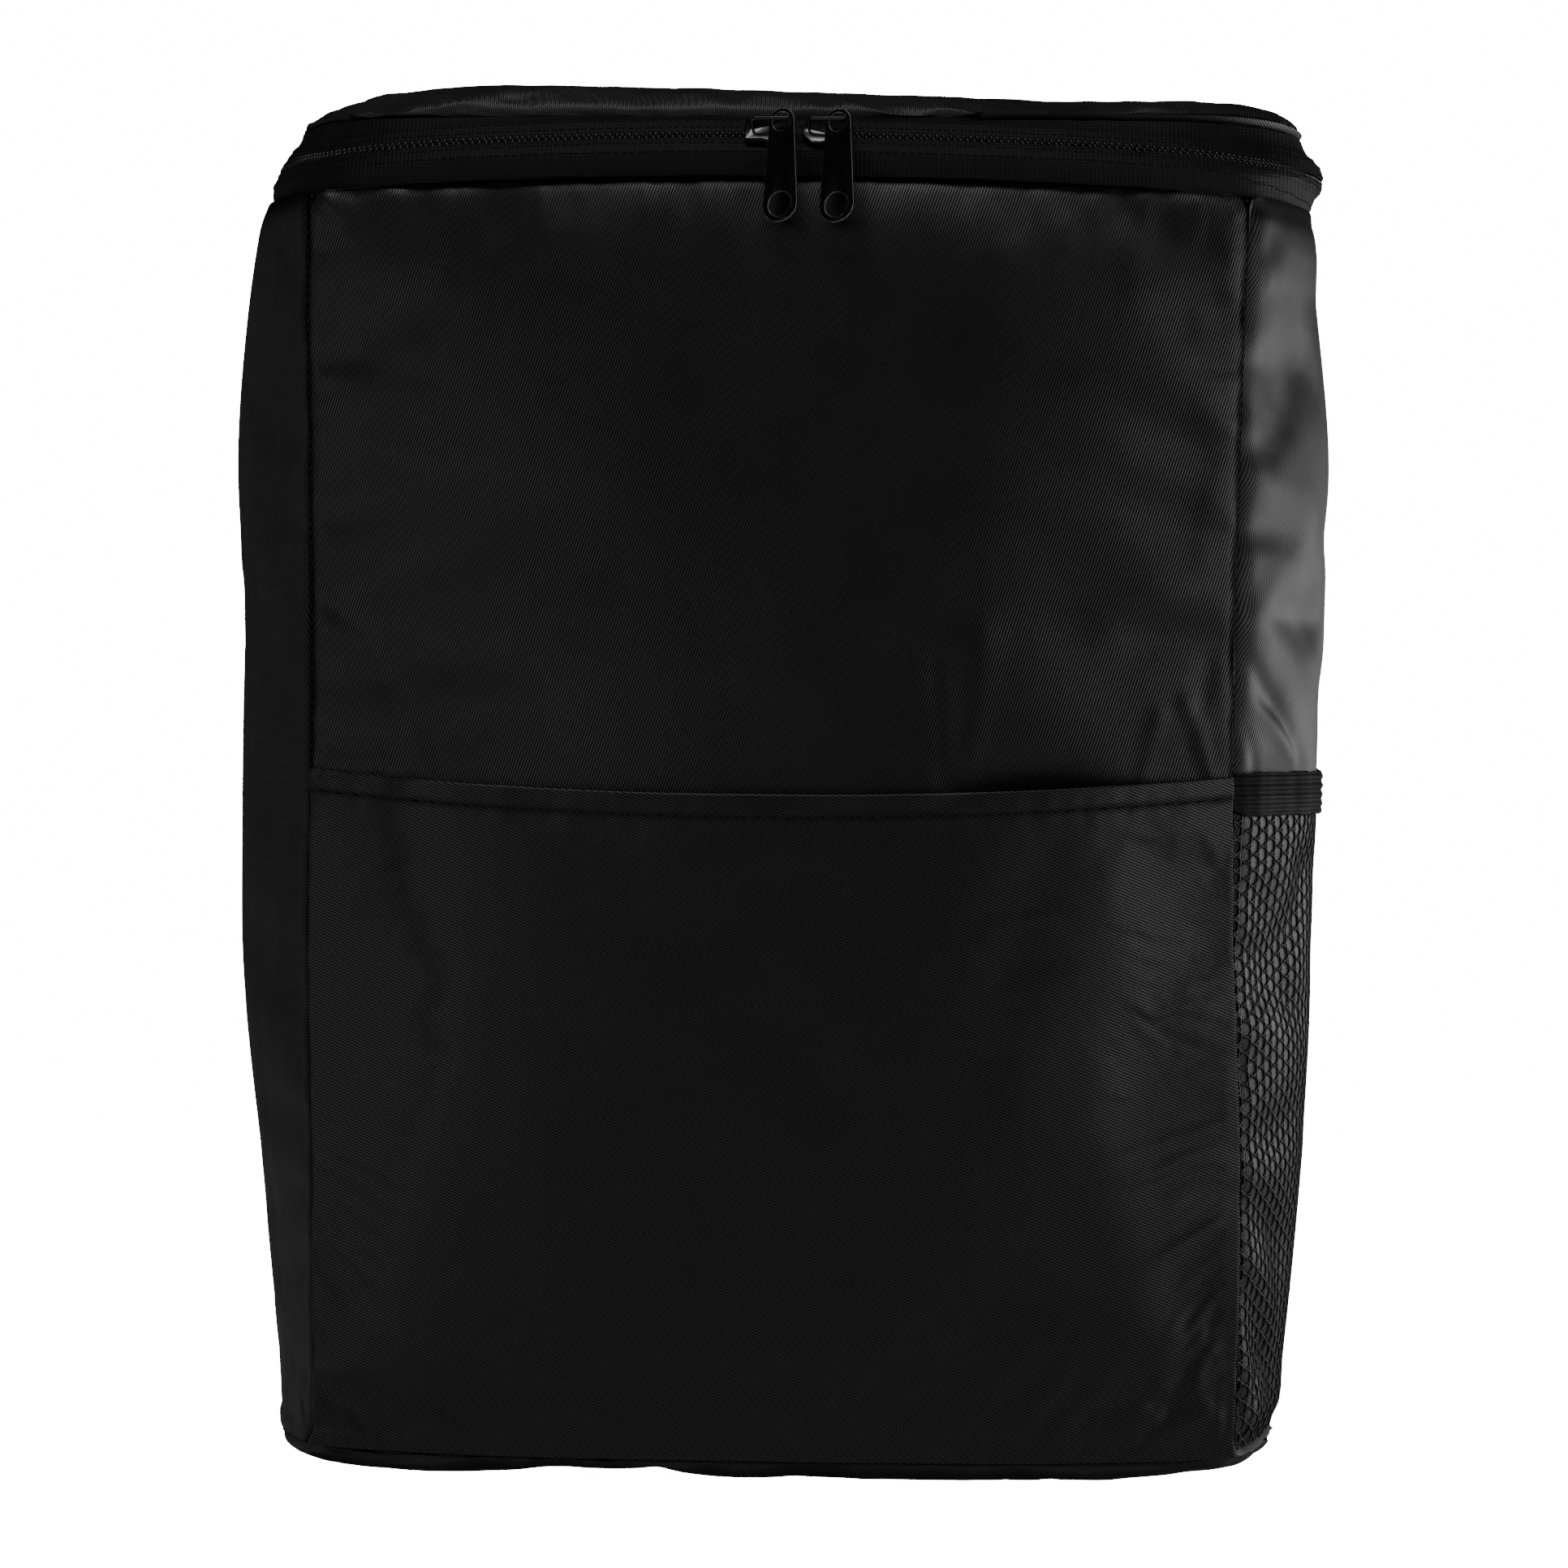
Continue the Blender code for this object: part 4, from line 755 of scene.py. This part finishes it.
# %% Front pocket
POCKET_CLOTH = 0.0012
HEM_HEIGHT = 0.0068
HEM_STEP = 0.0007
HEM_LINE = 0.0062
HEM_GROOVE = 0.00045
HEM_SHADE = 0.40
HEM_EDGE = 0.0003
HEM_LINE_WIDTH = 0.0009
HEM_PINCH, HEM_PINCH_PITCH, HEM_PINCH_WIDTH = 0.0003, 0.0048, 0.0045
SIDE_DRAW, SIDE_DRAW_PITCH, SIDE_DRAW_REACH = 0.0006, 0.008, 0.012
WRINKLE, WRINKLE_PITCH = 0.0004, 0.034
MOUTH_DIP = 0.0062
SEWN_SIDE = 0.0024
SEWN_FOOT = 0.004
POCKET_CAP = 0.0012


def outer_sheet(node, name, facing, least):
    """The outer skin of a solid alone, as one open sheet."""
    piece = merged_copy(node, name)
    way = Vector(facing)
    edit_faces(piece, [face.normal.dot(way) <= least for face in piece.data.polygons])
    bpy.ops.mesh.delete(type="FACE")
    bpy.ops.object.mode_set(mode="OBJECT")
    return piece


def mouth_height(x):
    """The pocket's upper edge, which dips in its middle."""
    half = float(pocket_high.x)
    return float(pocket_high.z) - MOUTH_DIP * (1 - min(abs(x) / half, 1.0) ** 2)


pocket_low, pocket_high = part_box("front_pocket")
pocket = outer_sheet("front_pocket", "pocket_cloth", (0, -1, 0), 0.3)
subdivide(pocket, 4)
places = shaped(points_of(pocket))
move_points(pocket, places)
sides = np.abs(places[:, 0]) > pocket_high.x - SEWN_SIDE
foot = places[:, 2] < pocket_low.z + SEWN_FOOT
set_shares(pocket, "held", np.nonzero(sides | foot)[0])
add_cloth(pocket, 0.10, 0.006)
run_cloth([pocket], [POCKET_CAP])
places, ways = points_of(pocket), normals_of(pocket)
painted_shade = np.zeros(len(places), np.float32)
for i, spot in enumerate(places):
    below = mouth_height(spot[0]) - spot[2]
    step = HEM_STEP / (1 + math.exp((below - HEM_HEIGHT) / HEM_EDGE))
    edge_away = pocket_high.x - abs(spot[0])
    ripple = noise.noise(Vector((0, spot[1], spot[2])) / SIDE_DRAW_PITCH)
    drawn = SIDE_DRAW * ripple * math.exp(-edge_away / SIDE_DRAW_REACH)
    wrinkle = WRINKLE * noise.noise(Vector((spot[0], 0, spot[2])) / WRINKLE_PITCH)
    sunk = math.exp(-(((below - HEM_LINE) / HEM_LINE_WIDTH) ** 2))
    groove = HEM_GROOVE * sunk
    pinch_share = math.exp(-(((below - HEM_LINE) / HEM_PINCH_WIDTH) ** 2))
    pinch = HEM_PINCH * noise.noise(Vector((spot[0], 0, 0)) / HEM_PINCH_PITCH) * pinch_share
    places[i] = spot + ways[i] * (step + drawn + wrinkle + pinch - groove)
    # Painted shade in the hem's stitched groove.
    painted_shade[i] = HEM_SHADE * sunk
move_points(pocket, places)
write_values(pocket, "painted_seam_shade", "POINT", painted_shade)
apply_modifier(pocket, "SOLIDIFY", thickness=POCKET_CLOTH, offset=-1.0)
bevel(pocket, 0.0004, 2, 60)
thin_out(pocket, [face.normal.y > 0.3 for face in pocket.data.polygons])
shade(pocket, 50)
settle(pocket, pocket_twill, BAG, ["front_pocket"])

# %% [markdown]
# The zip is a coil: two nylon threads wound into loops that hook into each other. Its path is
# read from the solid chain, whose rings each have four corners. From those come the middle of
# the chain, the way up the tape, and the way out of it.

# %% The zip's path
def ring_corners():
    """The chain's rings of four corners, from the left back corner round the front to the right one."""
    spots = []
    for node in ("zip_chain_left", "zip_chain_right"):
        rounded = {tuple(round(c, 6) for c in v.co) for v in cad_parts[node].data.vertices}
        spots += [Vector(spot) for spot in rounded]
    spots.sort(key=lambda p: (math.degrees(math.atan2(p.y, p.x)) - 90) % 360)
    return [spots[i:i + 4] for i in range(0, len(spots), 4)]


rings = ring_corners()
middles, ups = [], []
for ring in rings:
    by_height = sorted(ring, key=lambda p: p.z)
    middles.append(sum(ring, Vector()) / 4)
    ups.append(((by_height[2] + by_height[3]) - (by_height[0] + by_height[1])).normalized())

PATH_STEP = 0.0005


def even_path(spots, others):
    """Places every half millimetre along these points, eased, with the other values alongside."""
    spots, others = np.array(spots), np.array(others)
    lengths = np.concatenate([[0], np.cumsum(np.linalg.norm(np.diff(spots, axis=0), axis=1))])
    at = np.arange(0, lengths[-1], PATH_STEP)
    both = np.column_stack([np.interp(at, lengths, column) for column in (*spots.T, *others.T)])
    window = 21
    kernel = np.hanning(window + 2)[1:-1]
    kernel /= kernel.sum()
    padded = np.vstack([both[:1]] * (window // 2) + [both] + [both[-1:]] * (window // 2))
    return np.column_stack([np.convolve(column, kernel, "valid") for column in padded.T])


path = even_path(middles, ups)
path_spots, path_ups = shaped(path[:, :3]), path[:, 3:]
path_alongs = np.gradient(path_spots, axis=0)
path_alongs /= np.linalg.norm(path_alongs, axis=1, keepdims=True)
path_outs = np.cross(path_alongs, path_ups)
path_outs /= np.linalg.norm(path_outs, axis=1, keepdims=True)
print("zip path", round(len(path) * PATH_STEP * 1000), "mm, rings", len(rings))


def zip_frame(i, up=0.0, out=0.0):
    """A matrix at this step of the path: X along the zip, Y into the bag, Z up the tape."""
    i = int(round(i))
    spot = path_spots[i] + path_ups[i] * up + path_outs[i] * out
    turn = Matrix((path_alongs[i], -path_outs[i], path_ups[i])).transposed().to_4x4()
    return Matrix.Translation(spot) @ turn


def repeat(model, matrices, name):
    """Copies of the model at these places, joined into one piece. The model is removed."""
    copies = []
    for matrix in matrices:
        data = model.data.copy()
        data.transform(matrix)
        copies.append(bpy.data.objects.new(name, data))
        bpy.context.scene.collection.objects.link(copies[-1])
    bpy.data.objects.remove(model)
    pick(*copies)
    bpy.ops.object.join()
    joined = bpy.context.object
    joined.name = name
    bpy.ops.object.shade_smooth()
    return joined


def bead(length, width, height, segments, rings):
    """A small round bar along X, as a model for stitches and teeth."""
    bpy.ops.object.select_all(action="DESELECT")
    bpy.ops.mesh.primitive_uv_sphere_add(segments=segments, ring_count=rings, radius=0.5)
    model = bpy.context.object
    sized = Matrix.Diagonal((length, width, height, 1))
    model.data.transform(sized @ Matrix.Rotation(math.pi / 2, 4, "Y"))
    return model


# %% [markdown]
# The zip's tapes are narrow woven bands. The solids have their shape, so a smooth copy is
# enough, with a slight ripple where the stitching draws them. Each tape then goes on behind
# the coil. The band's foot is flared a little over the walls, and its top meets the lid's rim.

# %% Zip tapes
def rippled(piece, height, pitch):
    places, ways = points_of(piece), normals_of(piece)
    for i, spot in enumerate(places):
        places[i] = spot + ways[i] * height * noise.noise(Vector(spot) / pitch)
    move_points(piece, places)


RIPPLE, RIPPLE_PITCH = 0.00025, 0.006
BESIDE_CHAIN = 0.0032
CORNER_X, CORNER_Y = 0.1315, 0.0810
TAPE_HALF = 0.0006
FLARE_OUT, FLARE_DOWN, FLARE_REACH, FLARE_RISE = 0.0030, 0.0020, 0.016, 0.008
FOOT_SHARE = 0.20
TOP_OUT, TOP_RISE = 0.0018, 0.0055
CURL_RISE, CURL_IN = 0.0034, 0.0015
TUCK_FROM, TUCK_LEFT, TUCK_IN = 0.0026, 0.00015, 0.0003


def beside_path(places):
    """For each place: the nearest step of the zip's path, and how far up and out from it the place is."""
    tree = tree_of(path_spots)
    steps = np.array([tree.find(Vector(spot))[1] for spot in places])
    away = places - path_spots[steps]
    return steps, (away * path_ups[steps]).sum(axis=1), (away * path_outs[steps]).sum(axis=1)


RAY_START, RAY_REACH = 0.010, 0.016


def tape_out(tape, i, up):
    """How far out this tape's face is, at this step of the path and this far up from it."""
    start = Vector(path_spots[i] + path_ups[i] * up + path_outs[i] * RAY_START)
    met, spot, _, _ = tape.ray_cast(start, -Vector(path_outs[i]))
    if met and (spot - start).length < RAY_REACH:
        return float(np.dot(np.array(spot) - path_spots[i], path_outs[i]))
    return None


def tape_side(tape, up):
    """The same for every step, filled in where the ray meets nothing."""
    outs = {i: tape_out(tape, i, up) for i in range(0, len(path), 4)}
    known = [i for i, out in outs.items() if out is not None]
    return np.interp(np.arange(len(path)), known, [outs[i] for i in known])


def foot_out(tape):
    """The band's foot stands out and hangs down a little, most of all at the two front corners."""
    places = points_of(tape)
    steps, up, _ = beside_path(places)
    foot = up.min()
    rise = np.clip(1 - (up - foot) / FLARE_RISE, 0, 1) ** 1.5
    away = np.hypot(np.abs(places[:, 0]) - CORNER_X, places[:, 1] + CORNER_Y)
    near = rise * (FOOT_SHARE + np.exp(-((away / FLARE_REACH) ** 2)))
    under = np.clip(1 - (up - foot) / CURL_RISE, 0, 1) ** 2
    places += path_outs[steps] * (near * FLARE_OUT - under * CURL_IN)[:, None]
    places[:, 2] -= near * FLARE_DOWN
    move_points(tape, places)


def top_out(tape):
    """The band's top stands out a little, to meet the lid's rim."""
    places = points_of(tape)
    steps, up, _ = beside_path(places)
    rise = np.clip(1 - (up.max() - up) / TOP_RISE, 0, 1) ** 1.5
    places += path_outs[steps] * (rise * TOP_OUT)[:, None]
    move_points(tape, places)


def tuck_edge(tape, way):
    """The tape's edge at the chain goes on behind the coil, to the chain's middle."""
    places = points_of(tape)
    steps, up, _ = beside_path(places)
    near = np.abs(up) < TUCK_FROM
    shift = way * (np.abs(up) - TUCK_LEFT)
    places[near] += path_ups[steps[near]] * shift[near][:, None] - path_outs[steps[near]] * TUCK_IN
    move_points(tape, places)


tapes = {}
for word in ("lower", "upper"):
    tape = merged_copy("zip_tape_" + word, "tape_" + word)
    bevel(tape, 0.0002, 1, 60)
    subdivide(tape, 2)
    move_points(tape, shaped(points_of(tape)))
    rippled(tape, RIPPLE, RIPPLE_PITCH)
    tapes[word] = tape
bpy.context.view_layer.update()
faces = (tape_side(tapes["lower"], -BESIDE_CHAIN) + tape_side(tapes["upper"], BESIDE_CHAIN)) / 2
soft = np.hanning(33)[1:-1]
faces = np.convolve(np.pad(faces, 15, "edge"), soft / soft.sum(), "valid")
path_spots += path_outs * (faces - TAPE_HALF)[:, None]
print("path moved out by up to", round(float(faces.max() - TAPE_HALF) * 1000, 2), "mm")
for word, tape in tapes.items():
    tuck_edge(tape, 1 if word == "lower" else -1)
    if word == "lower":
        foot_out(tape)
    else:
        top_out(tape)
    shade(tape, 50)
    settle(tape, tape_weave, BAG, ["zip_tape_" + word])

# %% [markdown]
# Each tooth is a short bar across the chain. A wound helix would be truer behind, but only its
# loops' fronts show. The upper row's teeth lie halfway between the lower row's, and the two
# rows overlap in the middle, where the loops hook together.

# %% Coil
COIL_PITCH = 0.0019
ROW_UP, ROW_OUT = 0.00062, 0.0004
TOOTH_LENGTH = 0.0023
TOOTH_THICK = 0.00125

slider_boxes = {side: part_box("zip_slider_" + side) for side in ("left", "right")}
steps_per_tooth = COIL_PITCH / PATH_STEP
left_stop = np.argmin(np.abs(path_spots[:, 0] - slider_boxes["left"][0].x) + (path_spots[:, 1] > 0))
right_stop = np.argmin(np.abs(path_spots[:, 0] - slider_boxes["right"][1].x) + (path_spots[:, 1] > 0))
runs = {"left": (4, left_stop + 6), "right": (right_stop - 6, len(path) - 5)}
for side, (first, last) in runs.items():
    places = []
    at = first
    while at < last:
        places.append(zip_frame(at, ROW_UP, ROW_OUT))
        if at + steps_per_tooth / 2 < last:
            places.append(zip_frame(at + steps_per_tooth / 2, -ROW_UP, ROW_OUT))
        at += steps_per_tooth
    tooth = bead(TOOTH_THICK, TOOTH_THICK * 1.1, TOOTH_LENGTH, 8, 6)
    coil = repeat(tooth, places, "coil_" + side)
    settle(coil, coil_nylon, BAG, ["zip_chain_" + side])

# %% [markdown]
# Thread shows as short raised stitches. One stitch is modelled as a bead and copied along
# the tape, each laid on the cloth that a ray finds from outside.

# %% Stitches on the zip
STITCH_PITCH = 0.0022
STITCH_LENGTH = 0.0016
STITCH_THICK = 0.00055


def stitches_beside_zip(name, tape, up):
    """A row of stitches on this tape, this far up from the chain's middle."""
    places = []
    step = STITCH_PITCH / PATH_STEP
    for k in range(int(len(path) / step)):
        i = int(k * step)
        out = tape_out(tape, i, up)
        if out is not None:
            places.append(zip_frame(i, up, out))
    row = repeat(bead(STITCH_LENGTH, STITCH_THICK, STITCH_THICK, 6, 4), places, name)
    settle(row, stitch_thread)


lower_tape, upper_tape = tapes["lower"], tapes["upper"]
stitches_beside_zip("stitches_low_near", lower_tape, -0.0030)
stitches_beside_zip("stitches_low_far", lower_tape, -0.0062)
stitches_beside_zip("stitches_high_near", upper_tape, 0.0030)
stitches_beside_zip("stitches_high_far", upper_tape, 0.0058)

# %% [markdown]
# Sliders and pulls are cast zinc with black enamel. Their solids have the right outline, so
# their edges are only rounded off, as casting and polishing do. A pull's rounded edges are
# tinted light grey: a painted highlight.

# %% Sliders and pulls
def mark_rim_highlight(piece, low=0.15, high=0.96):
    """Marks the rounded edges of a flat piece for a painted highlight: faces that are neither its sides nor
    its rim.
    """
    faces = piece.data.polygons
    flat = max(faces, key=lambda face: face.area).normal
    rim_highlight = [float(low < abs(face.normal.dot(flat)) < high) for face in faces]
    write_values(piece, "painted_rim_highlight", "FACE", rim_highlight)


def rounded_copy(node, name, width, segments=2):
    piece = merged_copy(node, name)
    bevel(piece, width, segments, 35)
    shade(piece, 40)
    return piece


for side in ("left", "right"):
    slider = rounded_copy("zip_slider_" + side, "slider_" + side, 0.00012)
    settle(slider, black_enamel, BAG, ["zip_slider_" + side])
    pull = rounded_copy("zip_pull_" + side, "pull_" + side + "_tab", 0.00030, 3)
    # The pull's rounded edges carry a painted highlight.
    mark_rim_highlight(pull)
    settle(pull, black_enamel, "pull_" + side, ["zip_pull_" + side])

# %% [markdown]
# The side pocket is a knitted net. A see-through picture would be lighter, but has no yarn and
# no edge. So one six-sided cell with a round hole is modelled, and two Array modifiers lay it
# out like bricks. Then the flat net is laid over the side of the bag: its length goes round
# the bulge and its height up the wall.

# %% One cell of the net
NET_PITCH = 0.0045
NET_ROW = NET_PITCH * math.sqrt(3) / 2
NET_HOLE = 0.00186
NET_YARN = 0.00034

bpy.ops.object.select_all(action="DESELECT")
bpy.ops.mesh.primitive_circle_add(vertices=6, radius=NET_PITCH / math.sqrt(3), fill_type="NGON")
net = bpy.context.object
net.name = "side_net"
bpy.ops.object.mode_set(mode="EDIT")
bpy.ops.mesh.select_all(action="SELECT")
bpy.ops.transform.rotate(value=math.pi / 6, orient_axis="Z", center_override=(0, 0, 0))
bpy.ops.mesh.select_mode(type="EDGE")
bpy.ops.mesh.select_all(action="SELECT")
bpy.ops.mesh.subdivide(number_cuts=1)
bpy.ops.mesh.select_mode(type="FACE")
bpy.ops.mesh.select_all(action="SELECT")
bpy.ops.mesh.inset(thickness=NET_PITCH / 2 - NET_HOLE)
bpy.ops.mesh.delete(type="FACE")
bpy.ops.object.mode_set(mode="OBJECT")
places = points_of(net)
for i, spot in enumerate(places):
    reach = math.hypot(spot[0], spot[1])
    if reach < NET_PITCH * 0.42:
        places[i] = spot * NET_HOLE / reach
move_points(net, places)
print("one cell has", len(net.data.polygons), "faces")

# %% [markdown]
# Every cell is a copy of the first, so Array modifiers do the laying out: one along the row,
# one up the rows, after a second row was set half a cell over. Merging joins the cells.

# %% The flat net
net_low, net_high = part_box("mesh_pocket")
NET_STRETCH = 1.35
NET_SPAN = 0.179 / NET_STRETCH
net_rise = net_high.z - net_low.z
columns = int(net_rise / NET_PITCH) + 2
double_rows = int(NET_SPAN / NET_ROW / 2) + 2


def array(piece, count, step):
    apply_modifier(
        piece, "ARRAY", count=count, use_relative_offset=False, use_constant_offset=True,
        constant_offset_displace=step, use_merge_vertices=True, merge_threshold=0.00002,
    )


pick(net)
bpy.ops.object.duplicate()
second_row = bpy.context.object
second_row.data.transform(Matrix.Translation((NET_PITCH / 2, NET_ROW, 0)))
pick(net, second_row)
bpy.ops.object.join()
array(net, columns, (NET_PITCH, 0, 0))
array(net, double_rows, (0, 2 * NET_ROW, 0))
bpy.ops.object.mode_set(mode="EDIT")
bpy.ops.mesh.select_all(action="SELECT")
bpy.ops.mesh.remove_doubles(threshold=0.00003)
for place, way in (
    ((NET_PITCH / 2, 0, 0), (1, 0, 0)), ((NET_PITCH / 2 + net_rise, 0, 0), (-1, 0, 0)),
    ((0, NET_ROW / 2, 0), (0, 1, 0)), ((0, NET_ROW / 2 + NET_SPAN, 0), (0, -1, 0)),
):
    bpy.ops.mesh.select_all(action="SELECT")
    bpy.ops.mesh.bisect(plane_co=place, plane_no=way, clear_inner=True)
bpy.ops.object.mode_set(mode="OBJECT")
print("net faces", len(net.data.polygons))

# %% [markdown]
# The net lies on the side wall. A Shrinkwrap modifier would press it into every crease, and a
# net bridges small dents. So a grid of rays finds the wall, the grid is smoothed, and every
# point of the flat net is then set on it.

# %% The net laid on the side
side_wall = walls["right_side"]
GRID_Y, GRID_Z = 90, 110
NET_STAND_OFF = 0.0003
NET_SAG = 0.0001
grid_y = np.linspace(net_low.y + 0.0006, net_high.y - 0.0006, GRID_Y)
grid_z = np.linspace(net_low.z - 0.002, net_high.z + 0.014, GRID_Z)


def wall_grid(wall, side):
    found = np.full((GRID_Y, GRID_Z), np.nan)
    for a, y in enumerate(grid_y):
        for b, z in enumerate(grid_z):
            met, spot, _, _ = wall.ray_cast(Vector((side * 0.3, y, z)), Vector((-side, 0, 0)))
            if met:
                found[a, b] = spot.x
    for column in found.T:
        known = ~np.isnan(column)
        column[~known] = np.interp(np.nonzero(~known)[0], np.nonzero(known)[0], column[known])
    eased_grid = found.copy()
    for _ in range(3):
        inner = eased_grid[1:-1, 1:-1]
        around = eased_grid[:-2, 1:-1] + eased_grid[2:, 1:-1] + eased_grid[1:-1, :-2] + eased_grid[1:-1, 2:]
        inner[:] = (around + 2 * inner) / 6
    return np.maximum(found, eased_grid)


net_grid = wall_grid(side_wall, 1)


def on_grid(y, z):
    """The wall's x at these places, read between the grid's points."""
    a = np.clip((y - grid_y[0]) / (grid_y[1] - grid_y[0]), 0, GRID_Y - 1.001)
    b = np.clip((z - grid_z[0]) / (grid_z[1] - grid_z[0]), 0, GRID_Z - 1.001)
    low_a, low_b = a.astype(int), b.astype(int)
    fa, fb = a - low_a, b - low_b
    near = net_grid[low_a, low_b] * (1 - fb) + net_grid[low_a, low_b + 1] * fb
    far = net_grid[low_a + 1, low_b] * (1 - fb) + net_grid[low_a + 1, low_b + 1] * fb
    return near * (1 - fa) + far * fa


middle_row = net_grid[:, GRID_Z // 2]
round_lengths = np.concatenate([[0], np.cumsum(np.hypot(np.diff(middle_row), np.diff(grid_y)))])
flat = points_of(net)
share = (flat[:, 1] - NET_ROW / 2) / NET_SPAN
y = np.interp(share * round_lengths[-1], round_lengths, grid_y)
z = net_low.z + flat[:, 0] - NET_PITCH / 2
sag = NET_SAG * np.sin(y * 210) * np.sin(z * 33)
x = on_grid(y, z) + NET_STAND_OFF + sag
move_points(net, np.column_stack([x, y, z]))
edit_faces(net)
bpy.ops.mesh.normals_make_consistent(inside=False)
bpy.ops.object.mode_set(mode="OBJECT")
apply_modifier(net, "SOLIDIFY", thickness=NET_YARN, offset=0.0)
shade(net)
settle(net, net_yarn, BAG, ["mesh_pocket"])

# %% [markdown]
# The net's mouth is a band of ribbed elastic. Its solid already has the ribs. Subdivision
# rounds them, and short waves along it show that the elastic is drawn together.

# %% Elastic
RIB_PITCH, RIB_HEIGHT = 0.0026, 0.00022
ELASTIC_STAND_OFF = 0.0004
ELASTIC_SQUEEZE = 0.8
ELASTIC_LONGER = 0.0015
ELASTIC_STEPS, ELASTIC_NEAR = 60, 0.003
KNIT, KNIT_STEP = 0.00010, 0.00105
GATHER, GATHER_PITCH = 0.0005, 0.009
FRONT_TUCK, FRONT_REACH = 0.0012, 0.004
elastic_low, elastic_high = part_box("pocket_elastic")
elastic = merged_copy("pocket_elastic", "side_elastic")
subdivide(elastic, 3)
places, ways = points_of(elastic), normals_of(elastic)
depths = np.linspace(elastic_low.y, elastic_high.y, ELASTIC_STEPS)
inner = np.array([places[np.abs(places[:, 1] - y) < ELASTIC_NEAR, 0].min() for y in depths])
middle = np.full(ELASTIC_STEPS, (elastic_low.z + elastic_high.z) / 2)
wall_side = on_grid(depths, middle) + ELASTIC_STAND_OFF
within = places[:, 0] - np.interp(places[:, 1], depths, inner)
places[:, 0] = np.interp(places[:, 1], depths, wall_side) + within * ELASTIC_SQUEEZE
places[:, 2] -= ELASTIC_LONGER * eased((elastic_high.z - places[:, 2]) / (elastic_high.z - elastic_low.z))
for i, spot in enumerate(places):
    rib = RIB_HEIGHT * math.cos(2 * math.pi * (spot[2] - elastic_low.z) / RIB_PITCH)
    knit = math.sin(spot[1] / KNIT_STEP) * KNIT
    wave = knit + GATHER * noise.noise(Vector((0, spot[1], 0)) / GATHER_PITCH)
    tucked = FRONT_TUCK * math.exp(-(spot[1] - elastic_low.y) / FRONT_REACH)
    places[i] = spot + ways[i] * (wave - rib) - np.array([tucked, 0, 0])
move_points(elastic, places)
shade(elastic, 60)
settle(elastic, elastic_knit, BAG, ["pocket_elastic"])

# %% [markdown]
# One row of stitches holds the hem of the front pocket. Its line keeps a fixed distance below
# the mouth, and rays set each stitch on the cloth.

# %% Hem stitches
HEM_PITCH = 0.0046
HEM_STITCH = 0.0036
HEM_THICK = 0.00045


def hem_frames(places):
    """For each pair of places: where a stitch lies on the pocket, along the line and out of the cloth."""
    frames = []
    way = Vector((0, 1, 0))
    for before, after in zip(places, places[1:]):
        start = Vector((before + after) / 2) - way * 0.05
        met, spot, normal, _ = pocket.ray_cast(start, way)
        if not met:
            continue
        along = (Vector(after) - Vector(before)).normalized()
        out = normal if normal.dot(way) < 0 else -normal
        along = (along - out * along.dot(out)).normalized()
        turn = Matrix((along, out.cross(along), out)).transposed().to_4x4()
        frames.append(Matrix.Translation(spot) @ turn)
    return frames


half = pocket_high.x - 0.003
xs = np.arange(-half, half, HEM_PITCH)
line = np.array([(x, -0.1, mouth_height(x) - HEM_LINE) for x in xs])
hem_row = repeat(bead(HEM_STITCH, HEM_THICK, HEM_THICK, 6, 4), hem_frames(line), "stitches_hem")
settle(hem_row, stitch_thread)

# %% [markdown]
# The back carries the harness: two padded straps in knitted spacer cloth, their webbing with a
# ladder lock each, and a grab loop. None of it shows in the photograph, so it is plain.

# %% Harness
def add_webbing(node, name):
    webbing = merged_copy(node, name)
    bevel(webbing, 0.0003, 1, 50)
    subdivide(webbing, 2)
    shade(webbing, 50)
    settle(webbing, webbing_weave, BAG, [node])


for side in ("left", "right"):
    strap = merged_copy("shoulder_strap_" + side, "strap_pad_" + side)
    subdivide(strap, 3)
    rippled(strap, 0.0007, 0.012)
    shade(strap)
    settle(strap, strap_mesh_knit, BAG, ["shoulder_strap_" + side])
    add_webbing("strap_webbing_" + side, "webbing_" + side)
    lock = rounded_copy("strap_adjuster_" + side, "ladder_lock_" + side, 0.0005, 3)
    settle(lock, adjuster_plastic, BAG, ["strap_adjuster_" + side])

add_webbing("grab_loop", "grab_webbing")
